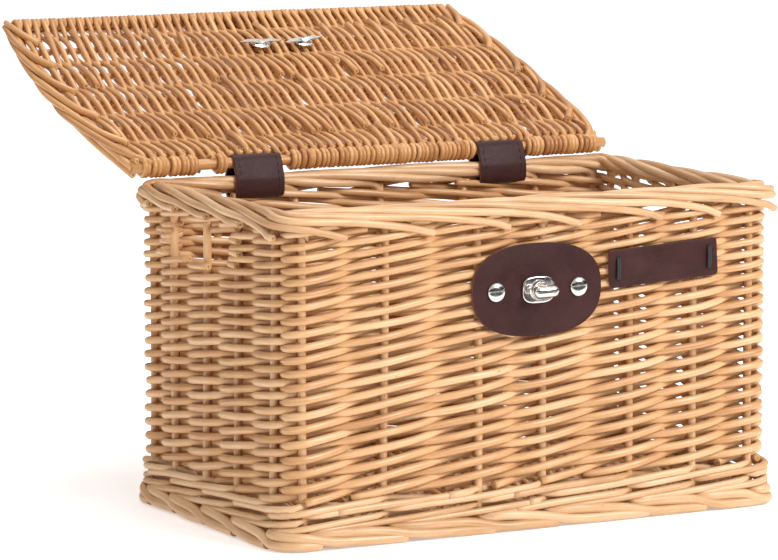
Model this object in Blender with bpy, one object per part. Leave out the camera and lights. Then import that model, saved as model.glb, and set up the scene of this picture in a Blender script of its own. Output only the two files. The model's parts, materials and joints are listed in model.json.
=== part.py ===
"""Rectangular woven willow basket with a hinged lid, leather hinge straps and a turn lock.

Metres, +Z up. Left to right is X, front to back is Y, and the basket stands on Z = 0.
The lid is built closed in its own frame, whose X axis is the hinge axis, and the empty
that carries it is then turned back to the open rest pose.
"""

import math

import bmesh
import bpy
from mathutils import Matrix, Vector

# ---- Clearances ----
GAP = 0.0003                     # running and seating clearance between two pieces
THROUGH = 0.002                  # how far a cutter runs past the face it cuts

# ---- Basket body ----
BODY_LENGTH = 0.408              # outside of the woven wall, left to right
BODY_DEPTH = 0.239               # outside of the woven wall, front to back
BODY_HEIGHT = 0.241              # floor to the top of the rim border
CORNER_RADIUS = 0.0175           # outside of the wall's upright corners
WALL = 0.013                     # thickness of the woven wall
FOOT_HEIGHT = 0.011              # border that the basket stands on
FOOT_OVERHANG = 0.003            # foot border outside the wall
UPSETT_HEIGHT = 0.0225           # thick waling between the foot and the wall
UPSETT_OVERHANG = 0.0015
RIM_HEIGHT = 0.016               # rolled border round the top
RIM_OVERHANG = 0.003
BASE_THICKNESS = 0.010
BASE_LIFT = 0.0005               # base underside above the foot border's top
CORNER_STEPS = 5                 # facets on each upright corner
BORDER_ROUNDING = 0.0045         # rounding of the two borders' long edges

# ---- Stakes: places are fractions of half the wall's length or depth ----
STAKE_RADIUS = 0.00275
STAKE_SIDES = 8
FRONT_STAKES = (-0.909, -0.593, -0.2225, 0.039, 0.396, 0.663, 0.901)
BACK_STAKES = (-0.91, -0.689, -0.375, -0.02, 0.336, 0.65, 0.91)
END_STAKES = (-0.787, -0.299, 0.123, 0.558, 0.874)

# ---- Hand-holes in both ends, bridged by the middle stake ----
HAND_HOLE_HEIGHT = 0.023
HAND_HOLE_DROP = 0.027           # top of the rim border to the top of the hole
HAND_HOLE_MARGIN = 0.0065        # weavers turned round the stake at each side

# ---- Lid ----
LID_END_OVERHANG = 0.001         # lid past each end of the woven wall, when centred
LID_FRONT_OVERHANG = 0.0105      # lid's front edge past the front of the wall
LID_SHIFT = -0.009               # lid's middle off the basket's middle, along X
LID_THICKNESS = 0.013
LID_SEAT = 0.002                 # closed lid above the rim
LID_OPEN_ANGLE = 158.0           # degrees from closed to the stop
BINDING_WIDTH = 0.012            # bound rods along each end of the lid
ROD_RADIUS = 0.00325
ROD_SIDES = 12
SECOND_ROD = 0.0155              # rod that closes the lid's weave at the strap notches
INNER_RODS = 4                   # rods between the second one and the front one
HINGE_ROD_STUB = 0.004           # hinge rod past the lid's right end

# ---- Hinge straps ----
STRAP_WIDTH = 0.040
STRAP_THICKNESS = 0.0025
STRAP_SLACK = 0.003              # lid notch past each edge of a strap
NOTCH_DEPTH = 0.0096             # bare length of lid behind each strap, from the axis
NEAR_STRAP = (1, 2)              # back stakes on either side of the left strap
FAR_STRAP = (4, 5)

# ---- Lock on the front ----
LOCK_X = -0.002
LOCK_DROP = 0.0665               # top of the rim border to the lock's middle
PATCH_LENGTH = 0.106
PATCH_HEIGHT = 0.067
PATCH_THICKNESS = 0.0025
PATCH_POWER = 2.5                # superellipse exponent
RIVET_SPREAD = 0.034             # rivet to the lock's middle
RIVET_HEAD_RADIUS = 0.0071
RIVET_HEAD_HEIGHT = 0.0032
SHANK_RADIUS = 0.0017
WASHER_RADIUS = 0.0080
WASHER_THICKNESS = 0.0008
LEG_REACH = 0.0170               # one splayed leg, from the shank's axis
LEG_WIDTH = 0.0048
LEG_THICKNESS = 0.0010
BACKING_LENGTH = 0.024
BACKING_HEIGHT = 0.017
BACKING_THICKNESS = 0.0008
KEEPER_LENGTH = 0.026            # lock's base plate
KEEPER_HEIGHT = 0.0195
KEEPER_THICKNESS = 0.0017
KEEPER_CORNER = 0.0075
BOSS_RADIUS = 0.0062
BOSS_HEIGHT = 0.0028
POST_RADIUS = 0.0030
TOGGLE_LENGTH = 0.020
TOGGLE_HEIGHT = 0.0085
TOGGLE_THICKNESS = 0.0055

# ---- Lock tab on the lid ----
TAB_THICKNESS = 0.0020
TAB_ROOT_START = 0.163           # hinge axis to the tab's fixed end
TAB_WIDTH = 0.058
TAB_TIP_WIDTH = 0.046
TAB_TIP_LENGTH = 0.018           # tab past the slot's middle
TAB_CORNER = 0.010
TAB_FOLD_OUTSET = 0.0025         # fold line past the lid's front edge
TAB_FOLD_RELIEF = 0.0019         # fixed leather stops this far short of the fold line
TAB_SWAY = 0.0013                # free play of the tab on the lock, front and back
TAB_FASTENER_SPREAD = 0.019
TAB_FASTENER_REACH = 0.180       # hinge axis to the two fasteners
SLOT_LENGTH = 0.024
SLOT_HEIGHT = 0.010
SLOT_COLLAR = 0.0010             # wall of the collar through the leather
SLOT_PLATE_LENGTH = 0.038
SLOT_PLATE_HEIGHT = 0.022
SLOT_PLATE_THICKNESS = 0.0010

# ---- Label ----
LABEL_OFFSET = 0.107             # lock to label, along X
LABEL_DROP = 0.054               # top of the rim border to the label's middle
LABEL_LENGTH = 0.092
LABEL_HEIGHT = 0.0275
LABEL_THICKNESS = 0.0020
LABEL_CORNER = 0.003
LABEL_TILT = 3.0                 # degrees, right end up
STITCH_SPREAD = 0.0387
STITCH_LENGTH = 0.0155
STITCH_RADIUS = 0.0009
STITCH_DEPTH = 0.0022            # stitch ends inside the wall

# ---- Places worked out from the sizes ----
UPSETT_BOTTOM = FOOT_HEIGHT + GAP
UPSETT_TOP = UPSETT_BOTTOM + UPSETT_HEIGHT
SIDING_BOTTOM = UPSETT_TOP + GAP
RIM_BOTTOM = BODY_HEIGHT - RIM_HEIGHT
SIDING_TOP = RIM_BOTTOM - GAP
HAND_HOLE_TOP = BODY_HEIGHT - HAND_HOLE_DROP
HAND_HOLE_BOTTOM = HAND_HOLE_TOP - HAND_HOLE_HEIGHT
LOCK_Z = BODY_HEIGHT - LOCK_DROP
LABEL_Z = BODY_HEIGHT - LABEL_DROP
BASE_BOTTOM = FOOT_HEIGHT + BASE_LIFT
FRONT_FACE = -BODY_DEPTH / 2
HINGE_Y = BODY_DEPTH / 2 + RIM_OVERHANG - (WALL + RIM_OVERHANG) / 2
HINGE_Z = BODY_HEIGHT + LID_SEAT + LID_THICKNESS / 2
LID_LENGTH = BODY_LENGTH + 2 * LID_END_OVERHANG
LID_REACH = HINGE_Y - FRONT_FACE + LID_FRONT_OVERHANG
RIVET_REACH = WALL + WASHER_THICKNESS + 2 * GAP    # wall's outside to the legs
PATCH_BACK = BACKING_THICKNESS + 2 * GAP           # depths are outward from the wall's face
KEEPER_BACK = PATCH_BACK + PATCH_THICKNESS + GAP
BOSS_TOP = KEEPER_BACK + KEEPER_THICKNESS + BOSS_HEIGHT
TAB_PACK = TAB_THICKNESS + GAP + SLOT_PLATE_THICKNESS
TAB_LATCHED = BOSS_TOP + TAB_SWAY + TAB_THICKNESS / 2
TOGGLE_BACK = BOSS_TOP + 2 * TAB_SWAY + TAB_PACK
TAB_LIFT = LID_THICKNESS / 2 + GAP + TAB_THICKNESS / 2
TAB_AXIS_REACH = LID_REACH + TAB_FOLD_OUTSET
TAB_DROP = HINGE_Z + TAB_LIFT - LOCK_Z
TAB_LEAN = (TAB_AXIS_REACH - HINGE_Y) - (TAB_LATCHED - FRONT_FACE)
TAB_SLOT_DISTANCE = math.hypot(TAB_DROP, TAB_LEAN)


# ---- Scene and materials ----
def clear_scene():
    for item in list(bpy.data.objects):
        bpy.data.objects.remove(item, do_unlink=True)


def make_material(name, colour, roughness, metallic=0.0):
    material = bpy.data.materials.new(name)
    material.use_nodes = True
    shader = material.node_tree.nodes["Principled BSDF"]
    shader.inputs["Base Color"].default_value = (*colour, 1.0)
    shader.inputs["Roughness"].default_value = roughness
    shader.inputs["Metallic"].default_value = metallic
    return material


def make_empty(name, parent=None, location=(0.0, 0.0, 0.0), rotation_x=0.0):
    empty = bpy.data.objects.new(name, None)
    empty.location = location
    empty.rotation_euler.x = rotation_x
    empty.parent = parent
    bpy.context.collection.objects.link(empty)
    return empty


def make_object(name, bm, material, parent):
    """Turn a finished bmesh into a named object under its parent."""
    bmesh.ops.recalc_face_normals(bm, faces=bm.faces)
    mesh = bpy.data.meshes.new(name)
    bm.to_mesh(mesh)
    bm.free()
    mesh.shade_smooth()
    mesh.set_sharp_from_angle(angle=math.radians(40))
    item = bpy.data.objects.new(name, mesh)
    item.parent = parent
    if material:
        mesh.materials.append(material)
    bpy.context.collection.objects.link(item)
    return item


def apply_tool(item, name, bm, operation="DIFFERENCE", crossing=False):
    """Cut a bmesh out of an object, or join it on, with a live Boolean."""
    tool = make_object(name, bm, None, item.parent)
    tool.location = item.location
    tool.rotation_euler = item.rotation_euler
    tool.display_type = "WIRE"
    tool.hide_render = True
    boolean = item.modifiers.new(name, "BOOLEAN")
    boolean.operation = operation
    boolean.solver = "EXACT"
    boolean.use_self = crossing
    boolean.object = tool


# ---- Shapes ----
def rounded_rectangle(length, depth, radius, steps=CORNER_STEPS):
    """Outline points of a rounded rectangle about the origin, anticlockwise."""
    points = []
    centres = ((1, 1), (-1, 1), (-1, -1), (1, -1))
    for corner, (sx, sy) in enumerate(centres):
        for step in range(steps + 1):
            angle = math.radians(90) * (corner + step / steps)
            points.append((sx * (length / 2 - radius) + radius * math.cos(angle),
                           sy * (depth / 2 - radius) + radius * math.sin(angle)))
    return points


def stadium(length, height, steps=6):
    return rounded_rectangle(length, height, height / 2 - 1e-5, steps)


def superellipse(length, height, power, steps=48):
    points = []
    for step in range(steps):
        angle = math.tau * step / steps
        c, s = math.cos(angle), math.sin(angle)
        points.append((length / 2 * math.copysign(abs(c) ** (2 / power), c),
                       height / 2 * math.copysign(abs(s) ** (2 / power), s)))
    return points


def plate(bm, outline, low, high, turn=None):
    """Extrude a flat outline from low to high along Z, then turn it."""
    new = [bm.verts.new((x, y, low)) for x, y in outline]
    face = bm.faces.new(new)
    grown = bmesh.ops.extrude_face_region(bm, geom=[face])["geom"]
    tops = [item for item in grown if isinstance(item, bmesh.types.BMVert)]
    bmesh.ops.translate(bm, verts=tops, vec=(0, 0, high - low))
    if turn:
        bmesh.ops.transform(bm, matrix=turn, verts=new + tops)
    return new + tops


def box(bm, low, high):
    size = Vector(high) - Vector(low)
    middle = (Vector(high) + Vector(low)) / 2
    place = Matrix.Translation(middle) @ Matrix.Diagonal((*size, 1.0))
    return bmesh.ops.create_cube(bm, size=1.0, matrix=place)["verts"]


def cylinder(bm, radius, start, end, sides):
    start, end = Vector(start), Vector(end)
    turn = (end - start).to_track_quat("Z", "Y").to_matrix().to_4x4()
    place = Matrix.Translation((start + end) / 2) @ turn
    bmesh.ops.create_cone(bm, cap_ends=True, segments=sides, radius1=radius, radius2=radius,
                          depth=(end - start).length, matrix=place)


def lathe(bm, profile, steps):
    """Spin (radius, height) points about Z. The profile starts and ends on the axis."""
    points = [bm.verts.new((radius, 0, height)) for radius, height in profile]
    edges = [bm.edges.new(pair) for pair in zip(points, points[1:])]
    bmesh.ops.spin(bm, geom=points + edges, axis=(0, 0, 1), cent=(0, 0, 0),
                   angle=math.tau, steps=steps, use_merge=True)
    bmesh.ops.remove_doubles(bm, verts=bm.verts, dist=1e-7)


def band(outset, thickness, low, high):
    """Ring that follows the wall's outline, its outside the given distance past the wall."""
    bm = bmesh.new()
    outline = rounded_rectangle(BODY_LENGTH + 2 * outset, BODY_DEPTH + 2 * outset,
                                CORNER_RADIUS + outset)
    inside = bm.faces.new([bm.verts.new((x, y, low)) for x, y in outline])
    bm.normal_update()
    ring = bmesh.ops.inset_individual(bm, faces=[inside], thickness=thickness,
                                      use_even_offset=True)["faces"]
    bmesh.ops.delete(bm, geom=[inside], context="FACES")
    grown = bmesh.ops.extrude_face_region(bm, geom=ring)["geom"]
    tops = [item for item in grown if isinstance(item, bmesh.types.BMVert)]
    bmesh.ops.translate(bm, verts=tops, vec=(0, 0, high - low))
    return bm


def round_level_edges(bm, width, segments=2):
    """Bevel every edge that runs round a band at its top or bottom."""
    level = [edge for edge in bm.edges
             if abs(edge.verts[0].co.z - edge.verts[1].co.z) < 1e-6
             and edge.calc_face_angle(0.0) > math.radians(60)]
    bmesh.ops.bevel(bm, geom=level, offset=width, affect="EDGES", segments=segments,
                    profile=0.5, material=-1)


def belt(circles, thickness, steps_per_turn=24):
    """Inner and outer outlines of a belt pulled round circles of (y, z, radius)."""
    count = len(circles)
    normals = []
    for index, (y, z, radius) in enumerate(circles):
        next_y, next_z, next_radius = circles[(index + 1) % count]
        span = math.hypot(next_y - y, next_z - z)
        heading = math.atan2(next_z - z, next_y - y)
        normals.append(heading - math.acos((radius - next_radius) / span))
    inner, outer = [], []
    for index, (y, z, radius) in enumerate(circles):
        first, last = normals[index - 1], normals[index]
        sweep = (last - first) % math.tau
        steps = max(1, round(sweep / math.tau * steps_per_turn))
        for step in range(steps + 1):
            angle = first + sweep * step / steps
            for outline, reach in ((inner, radius), (outer, radius + thickness)):
                outline.append((y + reach * math.cos(angle), z + reach * math.sin(angle)))
    return inner, outer


# ---- Stakes ----
def stake_places():
    """Name and X, Y of every stake."""
    half_length, half_depth = BODY_LENGTH / 2, BODY_DEPTH / 2
    x_wall, y_wall = half_length - WALL / 2, half_depth - WALL / 2
    places = []
    for side, row, y in (("front", FRONT_STAKES, -y_wall), ("back", BACK_STAKES, y_wall)):
        for number, share in enumerate(row, 1):
            places.append((f"stake_{side}_{number}", share * half_length, y))
    for side, x in (("left", -x_wall), ("right", x_wall)):
        for number, share in enumerate(END_STAKES, 1):
            places.append((f"stake_{side}_{number}", x, share * half_depth))
    return places


def stake_channels():
    bm = bmesh.new()
    for _, x, y in stake_places():
        cylinder(bm, STAKE_RADIUS + GAP, (x, y, -THROUGH), (x, y, BODY_HEIGHT), STAKE_SIDES)
    return bm


def strap_centres():
    """X of each hinge strap, midway between two back stakes."""
    half = BODY_LENGTH / 2
    return [half * (BACK_STAKES[a] + BACK_STAKES[b]) / 2 for a, b in (NEAR_STRAP, FAR_STRAP)]


# ---- Basket body ----
def hand_hole_box(side):
    """Low and high corners of one hand-hole; side is -1 for the left end, 1 for the right."""
    half_depth = BODY_DEPTH / 2
    faces = sorted((side * (BODY_LENGTH / 2 + THROUGH), side * (BODY_LENGTH / 2 - WALL - THROUGH)))
    low = END_STAKES[1] * half_depth + HAND_HOLE_MARGIN
    high = END_STAKES[3] * half_depth - HAND_HOLE_MARGIN
    return (faces[0], low, HAND_HOLE_BOTTOM), (faces[1], high, HAND_HOLE_TOP)


def label_point(along, up):
    """X and Z of a point on the tilted label."""
    tilt = math.radians(LABEL_TILT)
    return (LOCK_X + LABEL_OFFSET + along * math.cos(tilt) - up * math.sin(tilt),
            LABEL_Z + along * math.sin(tilt) + up * math.cos(tilt))


def stitch_ends(side):
    """The two holes of the stitch at one end of the label, as X, Z pairs."""
    half = STITCH_LENGTH / 2
    return [label_point(side * STITCH_SPREAD, up) for up in (-half, half)]


def build_body(wicker, root):
    foot = band(FOOT_OVERHANG, WALL + FOOT_OVERHANG, 0.0, FOOT_HEIGHT)
    round_level_edges(foot, BORDER_ROUNDING / 2)
    make_object("foot_border", foot, wicker, root)

    upsett = make_object("upsett_waling", band(UPSETT_OVERHANG, WALL + UPSETT_OVERHANG,
                                               UPSETT_BOTTOM, UPSETT_TOP), wicker, root)
    apply_tool(upsett, "upsett_channels", stake_channels())

    siding = make_object("siding", band(0.0, WALL, SIDING_BOTTOM, SIDING_TOP), wicker, root)
    apply_tool(siding, "siding_channels", stake_channels())
    apply_tool(siding, "siding_openings", siding_openings())

    rim = band(RIM_OVERHANG, WALL + RIM_OVERHANG, RIM_BOTTOM, BODY_HEIGHT)
    round_level_edges(rim, BORDER_ROUNDING)
    make_object("rim_border", rim, wicker, root)

    base = bmesh.new()
    inside = WALL + GAP
    plate(base, rounded_rectangle(BODY_LENGTH - 2 * inside, BODY_DEPTH - 2 * inside,
                                  CORNER_RADIUS - inside), BASE_BOTTOM, BASE_BOTTOM + BASE_THICKNESS)
    make_object("base_panel", base, wicker, root)


def siding_openings():
    """Hand-holes, strap notches, rivet holes and stitch holes of the wall."""
    bm = bmesh.new()
    for side in (-1, 1):
        box(bm, *hand_hole_box(side))
    back = BODY_DEPTH / 2
    half_notch = STRAP_WIDTH / 2 + GAP
    for x in strap_centres():
        box(bm, (x - half_notch, back - WALL - THROUGH, SIDING_TOP - STRAP_THICKNESS - GAP),
            (x + half_notch, back + THROUGH, SIDING_TOP + THROUGH))
    for side in (-1, 1):
        x = LOCK_X + side * RIVET_SPREAD
        cylinder(bm, SHANK_RADIUS + GAP, (x, FRONT_FACE - THROUGH, LOCK_Z),
                 (x, FRONT_FACE + WALL + THROUGH, LOCK_Z), STAKE_SIDES)
        for hole_x, hole_z in stitch_ends(side):
            cylinder(bm, STITCH_RADIUS + GAP, (hole_x, FRONT_FACE - THROUGH, hole_z),
                     (hole_x, FRONT_FACE + STITCH_DEPTH + 2 * GAP, hole_z), STAKE_SIDES)
    return bm


def build_stakes(wicker, root):
    for name, x, y in stake_places():
        bm = bmesh.new()
        cylinder(bm, STAKE_RADIUS, (x, y, UPSETT_BOTTOM), (x, y, RIM_BOTTOM - GAP), STAKE_SIDES)
        make_object(name, bm, wicker, root)


# ---- Hinge straps ----
def build_straps(leather, root):
    rounding = BORDER_ROUNDING
    half = (WALL + RIM_OVERHANG) / 2 - rounding
    low, high = RIM_BOTTOM + rounding, BODY_HEIGHT - rounding
    corner = rounding + GAP
    circles = ((HINGE_Y, HINGE_Z, ROD_RADIUS + GAP),
               (HINGE_Y - half, high, corner), (HINGE_Y - half, low, corner),
               (HINGE_Y + half, low, corner), (HINGE_Y + half, high, corner))
    inner, outer = belt(circles, STRAP_THICKNESS)
    for name, x in zip(("hinge_strap_left", "hinge_strap_right"), strap_centres()):
        bm = bmesh.new()
        left = x - STRAP_WIDTH / 2
        rings = [[bm.verts.new((left, y, z)) for y, z in ring] for ring in (inner, outer)]
        count = len(inner)
        faces = []
        for index in range(count):
            after = (index + 1) % count
            faces.append(bm.faces.new((rings[0][index], rings[0][after],
                                       rings[1][after], rings[1][index])))
        grown = bmesh.ops.extrude_face_region(bm, geom=faces)["geom"]
        far = [item for item in grown if isinstance(item, bmesh.types.BMVert)]
        bmesh.ops.translate(bm, verts=far, vec=(STRAP_WIDTH, 0, 0))
        make_object(name, bm, leather, root)


# ---- Split fasteners: a domed head, a shank and two legs spread flat ----
def build_fastener(name, steel, parent, place, reach, turn):
    """Head on the local +Z side of place, legs the reach below it."""
    bm = bmesh.new()
    crown = [(RIVET_HEAD_RADIUS * math.sin(math.radians(angle)),
              RIVET_HEAD_HEIGHT * math.cos(math.radians(angle))) for angle in (0, 25, 50, 72, 90)]
    lathe(bm, crown + [(SHANK_RADIUS, 0.0), (SHANK_RADIUS, -reach - LEG_THICKNESS / 2),
                       (0.0, -reach - LEG_THICKNESS / 2)], 16)
    fastener = make_object(name, bm, steel, parent)
    fastener.location = place
    fastener.rotation_euler.x = turn
    legs = bmesh.new()
    half, tip = LEG_WIDTH / 2, LEG_REACH
    shoulder = tip - LEG_WIDTH
    outline = ((shoulder, -half), (tip, 0.0), (shoulder, half), (-shoulder, half),
               (-tip, 0.0), (-shoulder, -half))
    plate(legs, outline, -reach - LEG_THICKNESS, -reach)
    apply_tool(fastener, name + "_legs", legs, "UNION")


def build_washer(name, steel, parent, place, turn):
    """Flat ring that reaches its thickness below place."""
    bm = bmesh.new()
    plate(bm, superellipse(2 * WASHER_RADIUS, 2 * WASHER_RADIUS, 2.0, 20), -WASHER_THICKNESS, 0.0)
    washer = make_object(name, bm, steel, parent)
    washer.location = place
    washer.rotation_euler.x = turn
    hole = bmesh.new()
    cylinder(hole, SHANK_RADIUS + GAP, (0, 0, -THROUGH), (0, 0, THROUGH), 12)
    apply_tool(washer, name + "_hole", hole)


# ---- Lock on the front: local +Z points out of the wall ----
def wall_tool(*holes):
    """Cutter of (x, y, radius) holes through a plate on the front."""
    bm = bmesh.new()
    for x, y, radius in holes:
        cylinder(bm, radius, (x, y, -THROUGH), (x, y, TOGGLE_BACK), 16)
    return bm


def build_lock(leather, steel, root):
    outward = math.radians(90)

    def on_front(item):
        item.location = (LOCK_X, FRONT_FACE, LOCK_Z)
        item.rotation_euler.x = outward
        return item

    backing = bmesh.new()
    plate(backing, rounded_rectangle(BACKING_LENGTH, BACKING_HEIGHT, BACKING_HEIGHT / 4),
          GAP, GAP + BACKING_THICKNESS)
    item = on_front(make_object("lock_backing_plate", backing, steel, root))
    apply_tool(item, "lock_backing_hole", wall_tool((0, 0, POST_RADIUS + GAP)))

    patch = bmesh.new()
    plate(patch, superellipse(PATCH_LENGTH, PATCH_HEIGHT, PATCH_POWER),
          PATCH_BACK, PATCH_BACK + PATCH_THICKNESS)
    item = on_front(make_object("lock_patch", patch, leather, root))
    rivet_hole = SHANK_RADIUS + GAP
    apply_tool(item, "lock_patch_holes", wall_tool((0, 0, POST_RADIUS + GAP),
                                                   (-RIVET_SPREAD, 0, rivet_hole),
                                                   (RIVET_SPREAD, 0, rivet_hole)))

    keeper = bmesh.new()
    plate(keeper, rounded_rectangle(KEEPER_LENGTH, KEEPER_HEIGHT, KEEPER_CORNER),
          KEEPER_BACK, KEEPER_BACK + KEEPER_THICKNESS)
    item = on_front(make_object("lock_base_plate", keeper, steel, root))
    boss = bmesh.new()
    cylinder(boss, BOSS_RADIUS, (0, 0, KEEPER_BACK + KEEPER_THICKNESS / 2), (0, 0, BOSS_TOP), 24)
    apply_tool(item, "lock_boss", boss, "UNION")
    apply_tool(item, "lock_base_hole", wall_tool((0, 0, POST_RADIUS + GAP)))

    post = bmesh.new()
    cylinder(post, POST_RADIUS, (0, 0, GAP), (0, 0, TOGGLE_BACK + TOGGLE_THICKNESS / 2), 16)
    item = on_front(make_object("lock_toggle", post, steel, root))
    bar = bmesh.new()
    plate(bar, stadium(TOGGLE_LENGTH, TOGGLE_HEIGHT), TOGGLE_BACK, TOGGLE_BACK + TOGGLE_THICKNESS)
    apply_tool(item, "lock_toggle_bar", bar, "UNION")

    head = KEEPER_BACK
    for name, side in (("left", -1), ("right", 1)):
        x = LOCK_X + side * RIVET_SPREAD
        build_fastener(f"lock_rivet_{name}", steel, root, (x, FRONT_FACE - head, LOCK_Z),
                       head + RIVET_REACH, outward)
        build_washer(f"lock_washer_{name}", steel, root, (x, FRONT_FACE + WALL + GAP, LOCK_Z),
                     outward)


# ---- Label, held by a stitch at each end ----
def build_label(leather, thread, root):
    bm = bmesh.new()
    plate(bm, rounded_rectangle(LABEL_LENGTH, LABEL_HEIGHT, LABEL_CORNER, 3),
          GAP, GAP + LABEL_THICKNESS)
    label = make_object("label", bm, leather, root)
    label.location = (LOCK_X + LABEL_OFFSET, FRONT_FACE, LABEL_Z)
    label.rotation_euler = (math.radians(90), math.radians(-LABEL_TILT), 0.0)
    holes = bmesh.new()
    for side in (-1, 1):
        for up in (-STITCH_LENGTH / 2, STITCH_LENGTH / 2):
            place = (side * STITCH_SPREAD, up)
            cylinder(holes, STITCH_RADIUS + GAP, (*place, -THROUGH), (*place, THROUGH * 2),
                     STAKE_SIDES)
    apply_tool(label, "label_holes", holes)

    over = FRONT_FACE - LABEL_THICKNESS - 2 * GAP - STITCH_RADIUS
    under = FRONT_FACE + STITCH_DEPTH
    for name, side in (("left", -1), ("right", 1)):
        (low_x, low_z), (high_x, high_z) = stitch_ends(side)
        route = ((low_x, under, low_z), (low_x, over, low_z),
                 (high_x, over, high_z), (high_x, under, high_z))
        curve = bpy.data.curves.new(f"label_stitch_{name}", "CURVE")
        curve.dimensions = "3D"
        curve.bevel_depth = STITCH_RADIUS
        curve.bevel_resolution = 1
        curve.use_fill_caps = True
        spline = curve.splines.new("POLY")
        spline.points.add(len(route) - 1)
        for point, place in zip(spline.points, route):
            point.co = (*place, 1.0)
        curve.materials.append(thread)
        stitch = bpy.data.objects.new(f"label_stitch_{name}", curve)
        stitch.parent = root
        bpy.context.collection.objects.link(stitch)


# ---- Lid: built closed, hinge axis on X, front towards -Y ----
def lid_ends():
    middle = LID_SHIFT
    return middle - LID_LENGTH / 2, middle + LID_LENGTH / 2


def rod_reaches():
    """Distance of each lid rod from the hinge axis, hinge rod first."""
    front = LID_REACH - LID_THICKNESS / 2
    pitch = (front - SECOND_ROD) / (INNER_RODS + 1)
    return [0.0] + [SECOND_ROD + pitch * number for number in range(INNER_RODS + 2)]


def lid_slab(left, right):
    """Flat bar of the lid's section with its two long edges rounded."""
    bm = bmesh.new()
    half = LID_THICKNESS / 2
    box(bm, (left, -LID_REACH, -half), (right, half, half))
    long_edges = [edge for edge in bm.edges
                  if abs(edge.verts[0].co.x - edge.verts[1].co.x) > (right - left) / 2]
    bmesh.ops.bevel(bm, geom=long_edges, offset=half * 0.96, affect="EDGES", segments=3,
                    profile=0.5, material=-1)
    return bm


def rod_channels():
    bm = bmesh.new()
    left, right = lid_ends()
    for reach in rod_reaches():
        cylinder(bm, ROD_RADIUS + GAP, (left - THROUGH, -reach, 0),
                 (right + THROUGH, -reach, 0), ROD_SIDES)
    return bm


def lid_openings():
    """Strap notches and the two fastener holes of the lid's weave."""
    bm = bmesh.new()
    half = LID_THICKNESS / 2 + THROUGH
    half_notch = STRAP_WIDTH / 2 + STRAP_SLACK
    for x in strap_centres():
        box(bm, (x - half_notch, -NOTCH_DEPTH, -half), (x + half_notch, half, half))
    for side in (-1, 1):
        x = LOCK_X + side * TAB_FASTENER_SPREAD
        cylinder(bm, SHANK_RADIUS + GAP, (x, -TAB_FASTENER_REACH, -half),
                 (x, -TAB_FASTENER_REACH, half), STAKE_SIDES)
    return bm


def build_lid(wicker, hinge):
    left, right = lid_ends()
    inner_left, inner_right = left + BINDING_WIDTH, right - BINDING_WIDTH
    weave = make_object("lid_weave", lid_slab(inner_left + GAP, inner_right - GAP), wicker, hinge)
    apply_tool(weave, "lid_weave_channels", rod_channels())
    apply_tool(weave, "lid_weave_openings", lid_openings(), crossing=True)
    for name, low, high in (("lid_binding_left", left, inner_left),
                            ("lid_binding_right", inner_right, right)):
        binding = make_object(name, lid_slab(low, high), wicker, hinge)
        apply_tool(binding, name + "_channels", rod_channels())
    reaches = rod_reaches()
    names = ["lid_hinge_rod"] + [f"lid_rod_{number}" for number in range(2, len(reaches))]
    for name, reach in zip(names + ["lid_front_rod"], reaches):
        stub = HINGE_ROD_STUB if name == "lid_hinge_rod" else 0.0
        bm = bmesh.new()
        cylinder(bm, ROD_RADIUS, (left, -reach, 0), (right + stub, -reach, 0), ROD_SIDES)
        make_object(name, bm, wicker, hinge)


def build_tab_root(leather, steel, hinge):
    """Leather fixed flat on the lid's outside by two split fasteners."""
    low = LID_THICKNESS / 2 + GAP
    end = TAB_AXIS_REACH - TAB_FOLD_RELIEF
    bm = bmesh.new()
    box(bm, (LOCK_X - TAB_WIDTH / 2, -end, low),
        (LOCK_X + TAB_WIDTH / 2, -TAB_ROOT_START, low + TAB_THICKNESS))
    root_piece = make_object("tab_root", bm, leather, hinge)
    holes = bmesh.new()
    for side in (-1, 1):
        place = (LOCK_X + side * TAB_FASTENER_SPREAD, -TAB_FASTENER_REACH)
        cylinder(holes, SHANK_RADIUS + GAP, (*place, 0), (*place, 2 * low), STAKE_SIDES)
    apply_tool(root_piece, "tab_root_holes", holes)
    head = low + TAB_THICKNESS + GAP
    seat = -LID_THICKNESS / 2 - GAP
    reach = head - seat + WASHER_THICKNESS + GAP
    for name, side in (("left", -1), ("right", 1)):
        x = LOCK_X + side * TAB_FASTENER_SPREAD
        build_fastener(f"tab_rivet_{name}", steel, hinge, (x, -TAB_FASTENER_REACH, head), reach, 0.0)
        build_washer(f"tab_washer_{name}", steel, hinge, (x, -TAB_FASTENER_REACH, seat), 0.0)


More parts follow.
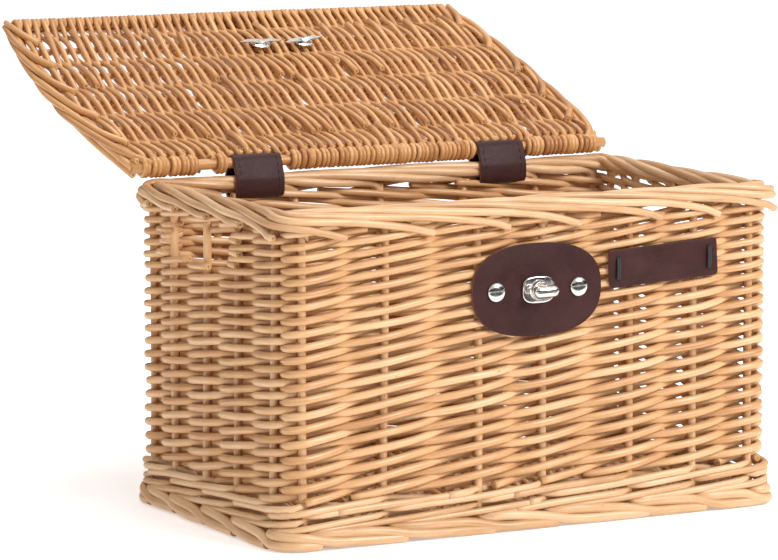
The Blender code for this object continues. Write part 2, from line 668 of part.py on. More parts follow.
def build_tab_flap(leather, steel, fold):
    """Free end of the tab, hanging from its fold line, with the slotted plate."""
    upright = Matrix.Rotation(math.radians(90), 4, "X")
    half = TAB_THICKNESS / 2
    end = TAB_SLOT_DISTANCE + TAB_TIP_LENGTH
    bm = bmesh.new()
    tip = rounded_rectangle(TAB_TIP_WIDTH, 2 * end, TAB_CORNER)
    outline = [point for point in tip if point[1] < 0]
    outline += [(TAB_WIDTH / 2, 0.0), (-TAB_WIDTH / 2, 0.0)]
    plate(bm, outline, -half, half, upright)
    top = [edge for edge in bm.edges
           if max(abs(vert.co.z) for vert in edge.verts) < 1e-6
           and abs(edge.verts[0].co.x - edge.verts[1].co.x) > TAB_TIP_WIDTH]
    bmesh.ops.bevel(bm, geom=top, offset=half * 0.9, affect="EDGES", segments=2,
                    profile=0.5, material=-1)
    flap = make_object("tab_flap", bm, leather, fold)
    flap.location = (LOCK_X, 0, 0)
    down = Matrix.Translation((0, 0, -TAB_SLOT_DISTANCE)) @ upright
    slot = bmesh.new()
    wall = 2 * (SLOT_COLLAR + GAP)
    plate(slot, stadium(SLOT_LENGTH + wall, SLOT_HEIGHT + wall), -THROUGH, THROUGH, down)
    apply_tool(flap, "tab_flap_slot", slot)

    cover = bmesh.new()
    plate(cover, stadium(SLOT_PLATE_LENGTH, SLOT_PLATE_HEIGHT),
          half + GAP, half + GAP + SLOT_PLATE_THICKNESS, down)
    item = make_object("tab_slot_plate", cover, steel, fold)
    item.location = flap.location
    collar = bmesh.new()
    plate(collar, stadium(SLOT_LENGTH + 2 * SLOT_COLLAR, SLOT_HEIGHT + 2 * SLOT_COLLAR),
          -half, half + GAP + SLOT_PLATE_THICKNESS / 2, down)
    apply_tool(item, "tab_slot_collar", collar, "UNION")
    opening = bmesh.new()
    plate(opening, stadium(SLOT_LENGTH, SLOT_HEIGHT), -2 * THROUGH, 2 * THROUGH, down)
    apply_tool(item, "tab_slot_opening", opening)


def centre_on_floor(root):
    """Shift the model so that its box is centred on the origin and stands on Z = 0."""
    bpy.context.view_layer.update()
    graph = bpy.context.evaluated_depsgraph_get()
    points = []
    for item in bpy.context.scene.objects:
        if item.type in {"MESH", "CURVE"} and not item.hide_render:
            shown = item.evaluated_get(graph)
            mesh = shown.to_mesh()
            points += [item.matrix_world @ vert.co for vert in mesh.vertices]
            shown.to_mesh_clear()
    low = Vector([min(point[axis] for point in points) for axis in range(3)])
    high = Vector([max(point[axis] for point in points) for axis in range(3)])
    root.location = (-(low.x + high.x) / 2, -(low.y + high.y) / 2, -low.z)
    bpy.context.view_layer.update()


def main():
    clear_scene()
    wicker = make_material("wicker", (0.62, 0.38, 0.17), 0.55)
    lid_wicker = make_material("lid_wicker", (0.52, 0.29, 0.11), 0.50)
    leather = make_material("leather", (0.045, 0.022, 0.020), 0.42)
    steel = make_material("nickel", (0.72, 0.70, 0.66), 0.18, 1.0)
    thread = make_material("thread", (0.02, 0.018, 0.018), 0.8)
    root = make_empty("basket_origin")
    hinge = make_empty("lid_hinge", root, (0, HINGE_Y, HINGE_Z), math.radians(-LID_OPEN_ANGLE))
    # The fold line's frame hangs plumb while the lid stands open.
    fold = make_empty("tab_fold", hinge, (0, -TAB_AXIS_REACH, TAB_LIFT),
                      math.radians(LID_OPEN_ANGLE))
    build_body(wicker, root)
    build_stakes(wicker, root)
    build_straps(leather, root)
    build_lock(leather, steel, root)
    build_label(leather, thread, root)
    build_lid(lid_wicker, hinge)
    build_tab_root(leather, steel, hinge)
    build_tab_flap(leather, steel, fold)
    centre_on_floor(root)


main()
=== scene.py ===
"""Looks of a rectangular willow basket with a hinged lid, leather straps and a turn lock.

Every rod of the weave is its own bent and tapered tube: the randed wall, the waled foot,
the rolled borders, the base and the lid. Sizes are in metres. Places come from the frame.
"""

from __future__ import annotations

import json
import logging
import math
import random
from dataclasses import dataclass, field
from enum import Enum

import bmesh
import bpy
from mathutils import Matrix, Vector


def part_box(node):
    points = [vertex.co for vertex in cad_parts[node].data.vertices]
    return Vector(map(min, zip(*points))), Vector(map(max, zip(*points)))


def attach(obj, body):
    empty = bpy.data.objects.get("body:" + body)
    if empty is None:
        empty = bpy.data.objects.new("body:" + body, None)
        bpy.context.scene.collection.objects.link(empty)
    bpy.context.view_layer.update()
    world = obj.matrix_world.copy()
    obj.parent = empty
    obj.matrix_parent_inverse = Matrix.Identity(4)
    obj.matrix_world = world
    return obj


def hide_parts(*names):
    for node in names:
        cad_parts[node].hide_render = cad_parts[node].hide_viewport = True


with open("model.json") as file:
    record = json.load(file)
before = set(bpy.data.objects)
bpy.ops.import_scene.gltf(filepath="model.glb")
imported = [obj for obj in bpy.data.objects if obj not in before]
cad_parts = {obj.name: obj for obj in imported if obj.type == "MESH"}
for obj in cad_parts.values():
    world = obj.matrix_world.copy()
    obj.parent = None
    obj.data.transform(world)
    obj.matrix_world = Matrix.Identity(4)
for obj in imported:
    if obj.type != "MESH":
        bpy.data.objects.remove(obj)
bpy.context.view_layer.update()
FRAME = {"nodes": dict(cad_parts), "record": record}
LOG = logging.getLogger("willow_basket")
UP = Vector((0.0, 0.0, 1.0))
RIGHT = Vector((1.0, 0.0, 0.0))
Colour = tuple[float, float, float, float]


class Body(Enum):
    """Moving bodies of the basket."""

    BASKET = "basket"
    LID = "lid"
    TAB = "lock_tab"
    TOGGLE = "toggle"


class Slot(Enum):
    """Names of material slots; no piece reads them, since the pieces take their materials from Finishes."""

    WILLOW = "willow"
    LID_WILLOW = "lid_willow"
    LEATHER = "leather"
    NICKEL = "nickel"
    THREAD = "thread"


# ---- Node trees ----
class Graph:
    """A shader node tree with short ways to add nodes and to join them."""

    def __init__(self, tree: bpy.types.NodeTree) -> None:
        """Empty the tree and keep it.

        Args:
            tree: Node tree of a material, a world or a group.
        """
        self.tree = tree
        tree.nodes.clear()

    def add(self, kind: str, values: dict | None = None, **settings: object) -> bpy.types.Node:
        """Add one node.

        Args:
            kind: Blender's name for the node type.
            values: Input name or number, and the value or the output socket that feeds it.
            settings: Properties of the node.

        Returns:
            The new node.
        """
        node = self.tree.nodes.new(kind)
        for name, value in settings.items():
            setattr(node, name, value)
        for key, value in (values or {}).items():
            if isinstance(value, bpy.types.NodeSocket):
                self.tree.links.new(value, node.inputs[key])
            else:
                node.inputs[key].default_value = value
        return node

    def maths(self, operation: str, first: object, second: object = 0.0) -> bpy.types.NodeSocket:
        """Join two numbers by one operation, held between 0 and 1 where it is a mask.

        Args:
            operation: Name of the Math node's operation.
            first: Number or socket.
            second: Number or socket.

        Returns:
            The result's socket.
        """
        return self.add("ShaderNodeMath", {0: first, 1: second}, operation=operation).outputs[0]

    def span(self, value: object, low: float, high: float,
             to_low: float = 0.0, to_high: float = 1.0) -> bpy.types.NodeSocket:
        """Stretch the range low..high of a value to another range.

        Args:
            value: Number or socket.
            low: Start of the range that is read.
            high: End of the range that is read.
            to_low: What low becomes.
            to_high: What high becomes.

        Returns:
            The result's socket, held inside the new range.
        """
        values = {0: value, 1: low, 2: high, 3: to_low, 4: to_high}
        return self.add("ShaderNodeMapRange", values).outputs[0]

    def mix(self, factor: object, first: object, second: object) -> bpy.types.NodeSocket:
        """Mix two colours.

        Args:
            factor: Share of the second colour.
            first: Colour or socket.
            second: Colour or socket.

        Returns:
            The mixed colour's socket.
        """
        node = self.add("ShaderNodeMix", {0: factor, 6: first, 7: second}, data_type="RGBA")
        return node.outputs[2]

    def scaled(self, vector: bpy.types.NodeSocket, scale: tuple[float, float, float]) -> bpy.types.NodeSocket:
        """Stretch a vector along its three axes.

        Args:
            vector: Socket to stretch.
            scale: Factor along each axis.

        Returns:
            The stretched vector's socket.
        """
        return self.add("ShaderNodeVectorMath", {0: vector, 1: scale}, operation="MULTIPLY").outputs[0]

    def noise(self, vector: bpy.types.NodeSocket, scale: float, detail: float = 2.0) -> bpy.types.NodeSocket:
        """Read a noise from 0 to 1.

        Args:
            vector: Where it is read.
            scale: Lumps per unit of the vector.
            detail: Octaves.

        Returns:
            The noise's socket.
        """
        values = {"Vector": vector, "Scale": scale, "Detail": detail, "Roughness": 0.55}
        return self.add("ShaderNodeTexNoise", values).outputs[0]


def new_group(name: str, inputs: dict[str, tuple[str, object]],
              outputs: dict[str, str]) -> tuple[Graph, dict, object]:
    """Start a node group with named sockets.

    Args:
        name: Name of the group.
        inputs: Input name, its socket type and its default.
        outputs: Output name and its socket type.

    Returns:
        The group's graph, its inputs by name, and its output node.
    """
    tree = bpy.data.node_groups.new(name, "ShaderNodeTree")
    for label, (kind, value) in inputs.items():
        tree.interface.new_socket(label, in_out="INPUT", socket_type=kind).default_value = value
    for label, kind in outputs.items():
        tree.interface.new_socket(label, in_out="OUTPUT", socket_type=kind)
    graph = Graph(tree)
    entry = graph.add("NodeGroupInput")
    leave = graph.add("NodeGroupOutput")
    return graph, {label: entry.outputs[label] for label in inputs}, leave


def build_willow_group() -> bpy.types.NodeTree:
    """Make the skin of a peeled rod: tone of the rod, clouds, lengthwise fibres and bud scars.

    Returns:
        The node group.
    """
    colour = "NodeSocketColor"
    graph, inside, leave = new_group(
        "willow_skin",
        {"Pale": (colour, (1, 1, 1, 1)), "Middle": (colour, (1, 1, 1, 1)), "Dark": (colour, (1, 1, 1, 1)),
         "Scars": ("NodeSocketFloat", 1.0)},
        {"Color": colour, "Roughness": "NodeSocketFloat", "Height": "NodeSocketFloat"})
    tone = graph.add("ShaderNodeAttribute", attribute_name="tone").outputs["Fac"]
    grain = graph.add("ShaderNodeAttribute", attribute_name="grain").outputs["Vector"]
    fibres = graph.noise(graph.scaled(grain, (26.0, 900.0, 900.0)), 1.0, 3.0)
    clouds = graph.noise(graph.scaled(grain, (38.0, 120.0, 120.0)), 1.0, 2.0)
    scars = graph.noise(graph.scaled(grain, (210.0, 420.0, 420.0)), 1.0, 2.0)
    lots = graph.maths("MULTIPLY", tone, 0.62)
    lots = graph.maths("ADD", lots, graph.maths("MULTIPLY", graph.span(clouds, 0.3, 0.72), 0.30))
    lots = graph.maths("ADD", lots, graph.maths("MULTIPLY", graph.span(fibres, 0.36, 0.66), 0.32))
    skin = graph.mix(graph.span(lots, 0.0, 0.55), inside["Pale"], inside["Middle"])
    skin = graph.mix(graph.span(lots, 0.5, 1.1), skin, inside["Dark"])
    scar = graph.maths("MULTIPLY", graph.span(scars, 0.70, 0.78), inside["Scars"])
    skin = graph.mix(scar, skin, (0.20, 0.085, 0.025, 1.0))
    height = graph.maths("ADD", graph.maths("MULTIPLY", fibres, 0.6), graph.maths("MULTIPLY", clouds, 0.7))
    graph.tree.links.new(skin, leave.inputs["Color"])
    graph.tree.links.new(graph.span(fibres, 0.3, 0.75, 0.30, 0.46), leave.inputs["Roughness"])
    graph.tree.links.new(height, leave.inputs["Height"])
    return graph.tree


def build_hide_group() -> bpy.types.NodeTree:
    """Make the face of dyed leather: pores, creases and uneven dye.

    Returns:
        The node group.
    """
    colour, number = "NodeSocketColor", "NodeSocketFloat"
    graph, inside, leave = new_group(
        "hide", {"Dye": (colour, (1, 1, 1, 1)), "Worn": (colour, (1, 1, 1, 1))},
        {"Color": colour, "Roughness": number, "Height": number})
    place = graph.add("ShaderNodeTexCoord").outputs["Object"]
    cells = graph.add("ShaderNodeTexVoronoi", {"Vector": place, "Scale": 1150.0}, feature="F1")
    pores = cells.outputs["Distance"]
    creases = graph.noise(place, 620.0, 4.0)
    dye = graph.noise(place, 46.0, 3.0)
    shade = graph.maths("ADD", graph.maths("MULTIPLY", dye, 0.75), graph.maths("MULTIPLY", creases, 0.35))
    dyed = graph.mix(graph.span(shade, 0.35, 0.78), inside["Dye"], inside["Worn"])
    graph.tree.links.new(dyed, leave.inputs["Color"])
    graph.tree.links.new(graph.span(creases, 0.3, 0.7, 0.40, 0.56), leave.inputs["Roughness"])
    height = graph.maths("ADD", graph.maths("MULTIPLY", pores, 0.8), graph.maths("MULTIPLY", creases, 0.6))
    graph.tree.links.new(height, leave.inputs["Height"])
    return graph.tree


@dataclass(frozen=True)
class WillowFinish:
    """Peeled, steamed willow. Colours are scene-linear."""

    name: str
    pale: Colour
    middle: Colour
    dark: Colour
    scars: float = 0.7
    relief: float = 0.00022

    def build(self, group: bpy.types.NodeTree) -> bpy.types.Material:
        """Make the material of a rod's skin.

        Args:
            group: The shared willow skin.

        Returns:
            The material.
        """
        material, graph, shader = new_material(self.name)
        skin = graph.add("ShaderNodeGroup", node_tree=group)
        for label, value in (("Pale", self.pale), ("Middle", self.middle), ("Dark", self.dark),
                             ("Scars", self.scars)):
            skin.inputs[label].default_value = value
        dress(graph, shader, skin, self.relief)
        shader.inputs["Specular IOR Level"].default_value = 0.5
        return material


@dataclass(frozen=True)
class CutFinish:
    """Cut end of a rod: pale wood round a brown pith, under darker skin."""

    name: str
    wood: Colour
    pith: Colour
    skin: Colour

    def build(self) -> bpy.types.Material:
        """Make the material from the distance to the rod's middle.

        Returns:
            The material.
        """
        material, graph, shader = new_material(self.name)
        grain = graph.add("ShaderNodeAttribute", attribute_name="grain").outputs["Vector"]
        across = graph.scaled(grain, (0.0, 1.0, 1.0))
        distance = graph.add("ShaderNodeVectorMath", {0: across}, operation="LENGTH").outputs["Value"]
        mottle = graph.noise(graph.scaled(grain, (200.0, 900.0, 900.0)), 1.0, 3.0)
        face = graph.mix(graph.span(mottle, 0.35, 0.7), self.wood, self.skin)
        face = graph.mix(graph.span(distance, 0.0010, 0.0005), face, self.pith)
        face = graph.mix(graph.span(distance, 0.0019, 0.0027), face, self.skin)
        graph.tree.links.new(face, shader.inputs["Base Color"])
        graph.tree.links.new(graph.span(mottle, 0.3, 0.7, 0.65, 0.85), shader.inputs["Roughness"])
        bump = graph.add("ShaderNodeBump", {"Height": mottle, "Distance": 0.0004, "Strength": 0.8})
        graph.tree.links.new(bump.outputs[0], shader.inputs["Normal"])
        return material


@dataclass(frozen=True)
class HideFinish:
    """Dyed leather."""

    name: str
    dye: Colour
    worn: Colour
    relief: float = 0.00016

    def build(self, group: bpy.types.NodeTree) -> bpy.types.Material:
        """Make the material.

        Args:
            group: The shared hide.

        Returns:
            The material.
        """
        material, graph, shader = new_material(self.name)
        hide = graph.add("ShaderNodeGroup", node_tree=group)
        hide.inputs["Dye"].default_value = self.dye
        hide.inputs["Worn"].default_value = self.worn
        dress(graph, shader, hide, self.relief)
        shader.inputs["Specular IOR Level"].default_value = 0.20
        return material


@dataclass(frozen=True)
class NickelFinish:
    """Bright plated metal with faint polishing marks."""

    name: str
    colour: Colour = (0.80, 0.77, 0.73, 1.0)

    def build(self) -> bpy.types.Material:
        """Make the material.

        Returns:
            The material.
        """
        material, graph, shader = new_material(self.name)
        place = graph.add("ShaderNodeTexCoord").outputs["Object"]
        marks = graph.noise(graph.scaled(place, (260.0, 900.0, 900.0)), 1.0, 3.0)
        tarnish = graph.noise(place, 240.0, 2.0)
        dull = tuple(channel * 0.72 for channel in self.colour[:3]) + (1.0,)
        plating = graph.mix(graph.span(tarnish, 0.45, 0.8), self.colour, dull)
        graph.tree.links.new(plating, shader.inputs["Base Color"])
        graph.tree.links.new(graph.span(marks, 0.3, 0.8, 0.10, 0.26), shader.inputs["Roughness"])
        shader.inputs["Metallic"].default_value = 1.0
        bump = graph.add("ShaderNodeBump", {"Height": tarnish, "Distance": 0.00006, "Strength": 0.5})
        graph.tree.links.new(bump.outputs[0], shader.inputs["Normal"])
        return material


@dataclass(frozen=True)
class ThreadFinish:
    """Waxed thread with a twist along it."""

    name: str
    colour: Colour
    light: Colour

    def build(self) -> bpy.types.Material:
        """Make the material from the rod's own lengthwise coordinate.

        Returns:
            The material.
        """
        material, graph, shader = new_material(self.name)
        grain = graph.add("ShaderNodeAttribute", attribute_name="grain").outputs["Vector"]
        values = {"Vector": graph.scaled(grain, (1.0, 0.8, 0.8)), "Scale": 520.0, "Distortion": 1.0}
        twist = graph.add("ShaderNodeTexWave", values, bands_direction="DIAGONAL").outputs["Fac"]
        graph.tree.links.new(graph.mix(twist, self.colour, self.light), shader.inputs["Base Color"])
        graph.tree.links.new(graph.span(twist, 0.0, 1.0, 0.5, 0.7), shader.inputs["Roughness"])
        bump = graph.add("ShaderNodeBump", {"Height": twist, "Distance": 0.0002, "Strength": 0.7})
        graph.tree.links.new(bump.outputs[0], shader.inputs["Normal"])
        return material


def new_material(name: str) -> tuple[bpy.types.Material, Graph, bpy.types.Node]:
    """Start a material with one Principled shader.

    Args:
        name: Name of the material.

    Returns:
        The material, its graph and the shader node.
    """
    material = bpy.data.materials.new(name)
    material.use_nodes = True
    graph = Graph(material.node_tree)
    shader = graph.add("ShaderNodeBsdfPrincipled")
    graph.add("ShaderNodeOutputMaterial", {"Surface": shader.outputs[0]})
    return material, graph, shader


def dress(graph: Graph, shader: bpy.types.Node, group: bpy.types.Node, relief: float) -> None:
    """Join a group's colour, roughness and height to a shader.

    Args:
        graph: Graph that holds both nodes.
        shader: Principled shader.
        group: Group node with Color, Roughness and Height.
        relief: Height of the bump, in metres.
    """
    graph.tree.links.new(group.outputs["Color"], shader.inputs["Base Color"])
    graph.tree.links.new(group.outputs["Roughness"], shader.inputs["Roughness"])
    bump = graph.add("ShaderNodeBump",
                     {"Height": group.outputs["Height"], "Distance": relief, "Strength": 0.9})
    graph.tree.links.new(bump.outputs[0], shader.inputs["Normal"])


class Finishes:
    """Every material of the basket, built once."""

    def __init__(self) -> None:
        """Build the shared groups and the materials."""
        skin, hide = build_willow_group(), build_hide_group()
        wall = WillowFinish("wall_willow", (0.730, 0.480, 0.270, 1.0), (0.610, 0.346, 0.160, 1.0),
                            (0.400, 0.172, 0.058, 1.0))
        lid = WillowFinish("lid_willow_skin", (0.690, 0.400, 0.180, 1.0), (0.560, 0.278, 0.100, 1.0),
                           (0.330, 0.120, 0.036, 1.0), scars=1.0)
        border = WillowFinish("border_willow", (0.705, 0.475, 0.285, 1.0), (0.610, 0.370, 0.190, 1.0),
                              (0.430, 0.215, 0.085, 1.0), scars=0.45)
        self.wall = wall.build(skin)
        self.border = border.build(skin)
        self.lid = lid.build(skin)
        self.cut = CutFinish("cut_willow", (0.72, 0.47, 0.22, 1), (0.22, 0.10, 0.035, 1),
                             (0.42, 0.21, 0.075, 1)).build()
        self.leather = HideFinish("brown_leather", (0.0300, 0.0075, 0.0070, 1),
                                  (0.0540, 0.0180, 0.0165, 1)).build(hide)
        self.leather_edge = HideFinish("burnished_edge", (0.135, 0.045, 0.028, 1), (0.230, 0.085, 0.050, 1),
                                       relief=0.00025).build(hide)
        self.nickel = NickelFinish("bright_nickel").build()
        self.black_thread = ThreadFinish("black_cord", (0.006, 0.006, 0.007, 1),
                                         (0.030, 0.029, 0.032, 1)).build()
        self.brown_thread = ThreadFinish("brown_thread", (0.014, 0.006, 0.006, 1),
                                         (0.050, 0.022, 0.020, 1)).build()


# ---- Rods ----
def smooth_line(points: list[Vector], steps: int) -> list[Vector]:
    """Run a smooth curve through the points.

    Args:
        points: Points that the curve passes.
        steps: Points made on each stretch.

    Returns:
        Points along the curve.
    """
    ends = [points[0] * 2 - points[1]] + points + [points[-1] * 2 - points[-2]]
    line = []
    for index in range(1, len(ends) - 2):
        before, start, stop, after = ends[index - 1:index + 3]
        for step in range(steps):
            t = step / steps
            line.append(0.5 * (2 * start + (stop - before) * t
                               + (2 * before - 5 * start + 4 * stop - after) * t * t
                               + (3 * start - before - 3 * stop + after) * t ** 3))
    line.append(points[-1].copy())
    return line


def line_length(points: list[Vector]) -> float:
    """Length of a line of points."""
    return sum((after - before).length for before, after in zip(points, points[1:]))


class RodBundle:
    """Rods that are joined into one mesh, each a cylinder bent along its own line."""

    def __init__(self, sides: int = 8, seed: int = 1) -> None:
        """Start an empty bundle.

        Args:
            sides: Facets round each rod.
            seed: Seed of the rods' tones.
        """
        self.sides = sides
        self.chance = random.Random(seed)
        self.bm = bmesh.new()
        self.tone = self.bm.verts.layers.float.new("tone")
        self.grain = self.bm.verts.layers.float_vector.new("grain")

    def add(self, points: list[Vector], start_radius: float, end_radius: float, tone: float | None = None,
            point_tip: float = 0.0, flatness: float = 1.0) -> None:
        """Bend one tapered rod along a line.

        Args:
            points: The rod's middle line.
            start_radius: Radius at the first point.
            end_radius: Radius at the last point.
            tone: 0 for a pale rod, 1 for a dark one. A random one if left out.
            point_tip: Length at the end over which the rod is shaved to a point.
            flatness: Thickness over width, with the thin way along the first normal.
        """
        rings = len(points)
        if rings < 3:
            return
        first = len(self.bm.verts)
        made = bmesh.ops.create_cone(self.bm, cap_ends=True, segments=self.sides, radius1=1.0, radius2=1.0,
                                     depth=1.0)["verts"]
        upright = {edge for vert in made for edge in vert.link_edges
                   if abs(edge.verts[0].co.z - edge.verts[1].co.z) > 0.5}
        bmesh.ops.subdivide_edges(self.bm, edges=sorted(upright, key=lambda edge: edge.index), cuts=rings - 2)
        self.bm.verts.ensure_lookup_table()
        frames = self.frames(points)
        length = frames[-1][3]
        tone = self.chance.betavariate(1.6, 2.2) if tone is None else tone
        offset = self.chance.uniform(-40.0, 40.0)
        for vert in self.bm.verts[first:]:
            ring = min(rings - 1, max(0, round((vert.co.z + 0.5) * (rings - 1))))
            place, normal, side, along = frames[ring]
            radius = start_radius + (end_radius - start_radius) * along / length
            if point_tip and length - along < point_tip:
                radius *= 0.25 + 0.75 * (length - along) / point_tip
            across, thick = vert.co.y * radius, vert.co.x * radius
            vert.co = place + normal * thick * flatness + side * across
            vert[self.tone] = tone
            vert[self.grain] = Vector((along + offset, thick, across))

    @staticmethod
    def frames(points: list[Vector]) -> list[tuple[Vector, Vector, Vector, float]]:
        """Carry a pair of normals along a line without twisting them.

        Args:
            points: The line.

        Returns:
            Place, normal, side and distance at each point.
        """
        normal, along, frames = None, 0.0, []
        for index, place in enumerate(points):
            ahead = points[min(index + 1, len(points) - 1)]
            behind = points[max(index - 1, 0)]
            tangent = (ahead - behind).normalized()
            if normal is None:
                normal = tangent.orthogonal()
            normal = (normal - tangent * normal.dot(tangent)).normalized()
            along += (place - behind).length
            frames.append((place, normal, tangent.cross(normal), along))
        return frames

    def finish(self, name: str, body: Body, skin: bpy.types.Material,
               cut: bpy.types.Material, nodes: tuple[str, ...] = ()) -> bpy.types.Object:
        """Turn the bundle into a piece of the basket.

        Args:
            name: Name of the piece.
            body: Body that it rides on.
            skin: Material of the rods.
            cut: Material of their ends.
            nodes: Nodes that the piece stands for.

        Returns:
            The piece.
        """
        for face in self.bm.faces:
            cap = len(face.verts) > 4
            face.smooth = not cap
            face.material_index = int(cap)
        return place_piece(name, self.bm, [skin, cut], body, nodes)


def place_piece(name: str, bm: bmesh.types.BMesh, materials: list[bpy.types.Material], body: Body,
                nodes: tuple[str, ...] = ()) -> bpy.types.Object:
    """Make an object of a mesh, give it its materials and let it ride on a body.

    Args:
        name: Name of the piece.
        bm: Its mesh, which is used up.
        materials: Its materials, by face index.
        body: Body that it rides on.
        nodes: Nodes that the piece stands for.

    Returns:
        The piece.
    """
    mesh = bpy.data.meshes.new(name)
    bm.to_mesh(mesh)
    bm.free()
    for material in materials:
        mesh.materials.append(material)
    piece = bpy.data.objects.new(name, mesh)
    bpy.context.scene.collection.objects.link(piece)
    if nodes:
        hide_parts(*nodes)
    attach(piece, body.value)
    LOG.info("%s: %d faces, stands for %s", name, len(mesh.polygons), ", ".join(nodes) or "nothing")
    return piece


def node_names(*starts: str) -> tuple[str, ...]:
    """Names of the nodes that begin with any of the given words."""
    return tuple(sorted(name for name in FRAME["nodes"] if name.startswith(starts)))


def node_middle(name: str) -> Vector:
    """Middle of a node's box."""
    low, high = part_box(name)
    return (low + high) / 2


# ---- Tracks that rods follow ----
class WallTrack:
    """Rounded rectangle through the middle of the wall, anticlockwise from above."""

    def __init__(self, corner: float) -> None:
        """Read the wall's outline from the frame.

        Args:
            corner: Radius of the middle line at the four corners.
        """
        low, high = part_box("siding")
        outline_low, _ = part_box("stake_left_1")
        stake_half = (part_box("stake_left_1")[1].x - outline_low.x) / 2
        self.middle = Vector(((low.x + high.x) / 2, (low.y + high.y) / 2, 0.0))
        left = node_middle("stake_left_1")
        front = node_middle("stake_front_1")
        self.half_x = self.middle.x - left.x
        self.half_y = self.middle.y - front.y
        self.corner = corner
        self.stake_radius = stake_half
        self.core_x = self.half_x - corner
        self.core_y = self.half_y - corner
        bend = corner * math.pi / 2
        self.lengths = (2 * self.core_x, bend, 2 * self.core_y, bend) * 2
        self.length = sum(self.lengths)
        self.corners = [sum(self.lengths[:side]) + bend / 2 for side in (1, 3, 5, 7)]
        names = node_names("stake_")
        self.stakes = sorted(self.distance(node_middle(name)) for name in names)

    def distance(self, point: Vector) -> float:
        """Distance along the track of the place nearest to a point.

        Args:
            point: Any point near the wall.

        Returns:
            The distance from the front left corner.
        """
        away = point - self.middle
        core = Vector((max(-self.core_x, min(self.core_x, away.x)),
                       max(-self.core_y, min(self.core_y, away.y)), 0))
        outward = away - core
        turned = math.atan2(outward.y, outward.x) + math.pi / 2
        quarter = int((turned % math.tau) / (math.pi / 2) + 1e-6) % 4
        part = (turned % math.tau) - quarter * math.pi / 2
        along = (away.x + self.core_x, away.y + self.core_y,
                 self.core_x - away.x, self.core_y - away.y)[quarter]
        limit = self.lengths[2 * quarter]
        start = sum(self.lengths[:2 * quarter])
        if part < 1e-3:
            return start + max(0.0, min(limit, along))
        return start + limit + self.corner * part

    def at(self, along: float, out: float, height: float) -> Vector:
        """Place beside the track.

        Args:
            along: Distance along the track, which closes on itself.
            out: Distance outwards from the wall's middle.
            height: Height above the floor.

        Returns:
            The place.
        """
        along %= self.length
        for side, length in enumerate(self.lengths):
            if along <= length or side == 7:
                break
            along -= length
        quarter, on_corner = divmod(side, 2)
        turn = (quarter - 1) * math.pi / 2
        if on_corner:
            turn += along / self.corner
            along = self.lengths[side - 1]
        run = along - self.lengths[side - on_corner] / 2
        outward = Vector((math.cos(turn), math.sin(turn), 0.0))
        straight = (quarter - 1) * math.pi / 2
        base_out = Vector((math.cos(straight), math.sin(straight), 0.0))
        onward = Vector((-base_out.y, base_out.x, 0.0))
        core = self.core_y if quarter % 2 == 0 else self.core_x
        centre = self.middle + base_out * core + onward * run
        return centre + outward * (self.corner + out) + UP * height

    def on_end(self, lap: float) -> float:
        """How far a place lies on the left or right end: 0 at the long sides, 1 on an end."""
        starts = [sum(self.lengths[:side]) for side in (2, 6)]
        inside = max(min(lap - start, start + self.lengths[2] - lap) for start in starts)
        return max(0.0, min(1.0, inside / 0.02 + 0.5))

    def stake_count(self, along: float) -> float:
        """Number of stakes passed, as a whole number at each stake.

        Args:
            along: Distance along the track.

        Returns:
            The count, which grows by the number of stakes on each lap.
        """
        laps, rest = divmod(along - self.stakes[0], self.length)
        rest += self.stakes[0]
        marks = self.stakes + [self.stakes[0] + self.length]
        for index in range(len(self.stakes)):
            if rest <= marks[index + 1]:
                share = (rest - marks[index]) / (marks[index + 1] - marks[index])
                return laps * len(self.stakes) + index + share
        return (laps + 1) * len(self.stakes)

    def stake_at(self, count: float) -> float:
        """Distance along the track at a count of stakes, the other way round from stake_count."""
        total = len(self.stakes)
        laps, rest = divmod(count, total)
        index = int(rest)
        marks = self.stakes + [self.stakes[0] + self.length]
        return laps * self.length + marks[index] + (marks[index + 1] - marks[index]) * (rest - index)


class LidPlane:
    """Frame of the open lid: X along the hinge, reach away from it, lift towards its inner face."""

    def __init__(self) -> None:
        """Read the hinge rod and the front rod from the frame."""
        self.hinge = node_middle("lid_hinge_rod")
        front = node_middle("lid_front_rod")
        away = Vector((0.0, front.y - self.hinge.y, front.z - self.hinge.z))
        self.reach = away.normalized()
        self.lift = RIGHT.cross(self.reach)
        self.hinge.x = 0.0

    def at(self, x: float, reach: float, lift: float) -> Vector:
        """Place on the lid, from its three coordinates."""
        return self.hinge + RIGHT * x + self.reach * reach + self.lift * lift

    def local(self, point: Vector) -> Vector:
        """Coordinates of a point on the lid."""
        away = point - self.hinge
        return Vector((away.x, away.dot(self.reach), away.dot(self.lift)))

    def node_box(self, name: str) -> tuple[Vector, Vector]:
        """Lowest and highest coordinates of a node on the lid.

        Args:
            name: Node of the frame.

        Returns:
            The two corners.
        """
        places = [self.local(vert.co) for vert in FRAME["nodes"][name].data.vertices]
        low = Vector([min(place[axis] for place in places) for axis in range(3)])
        high = Vector([max(place[axis] for place in places) for axis in range(3)])
        return low, high


class BasePlane:
    """Frame of the woven base, with the same calls as the lid's."""

    def __init__(self) -> None:
        """Read the base panel from the frame."""
        low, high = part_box("base_panel")
        self.low, self.high = low, high
        self.level = (low.z + high.z) / 2

    def at(self, x: float, reach: float, lift: float) -> Vector:
        """Place on the base, from its three coordinates."""
        return Vector((x, self.low.y + reach, self.level + lift))


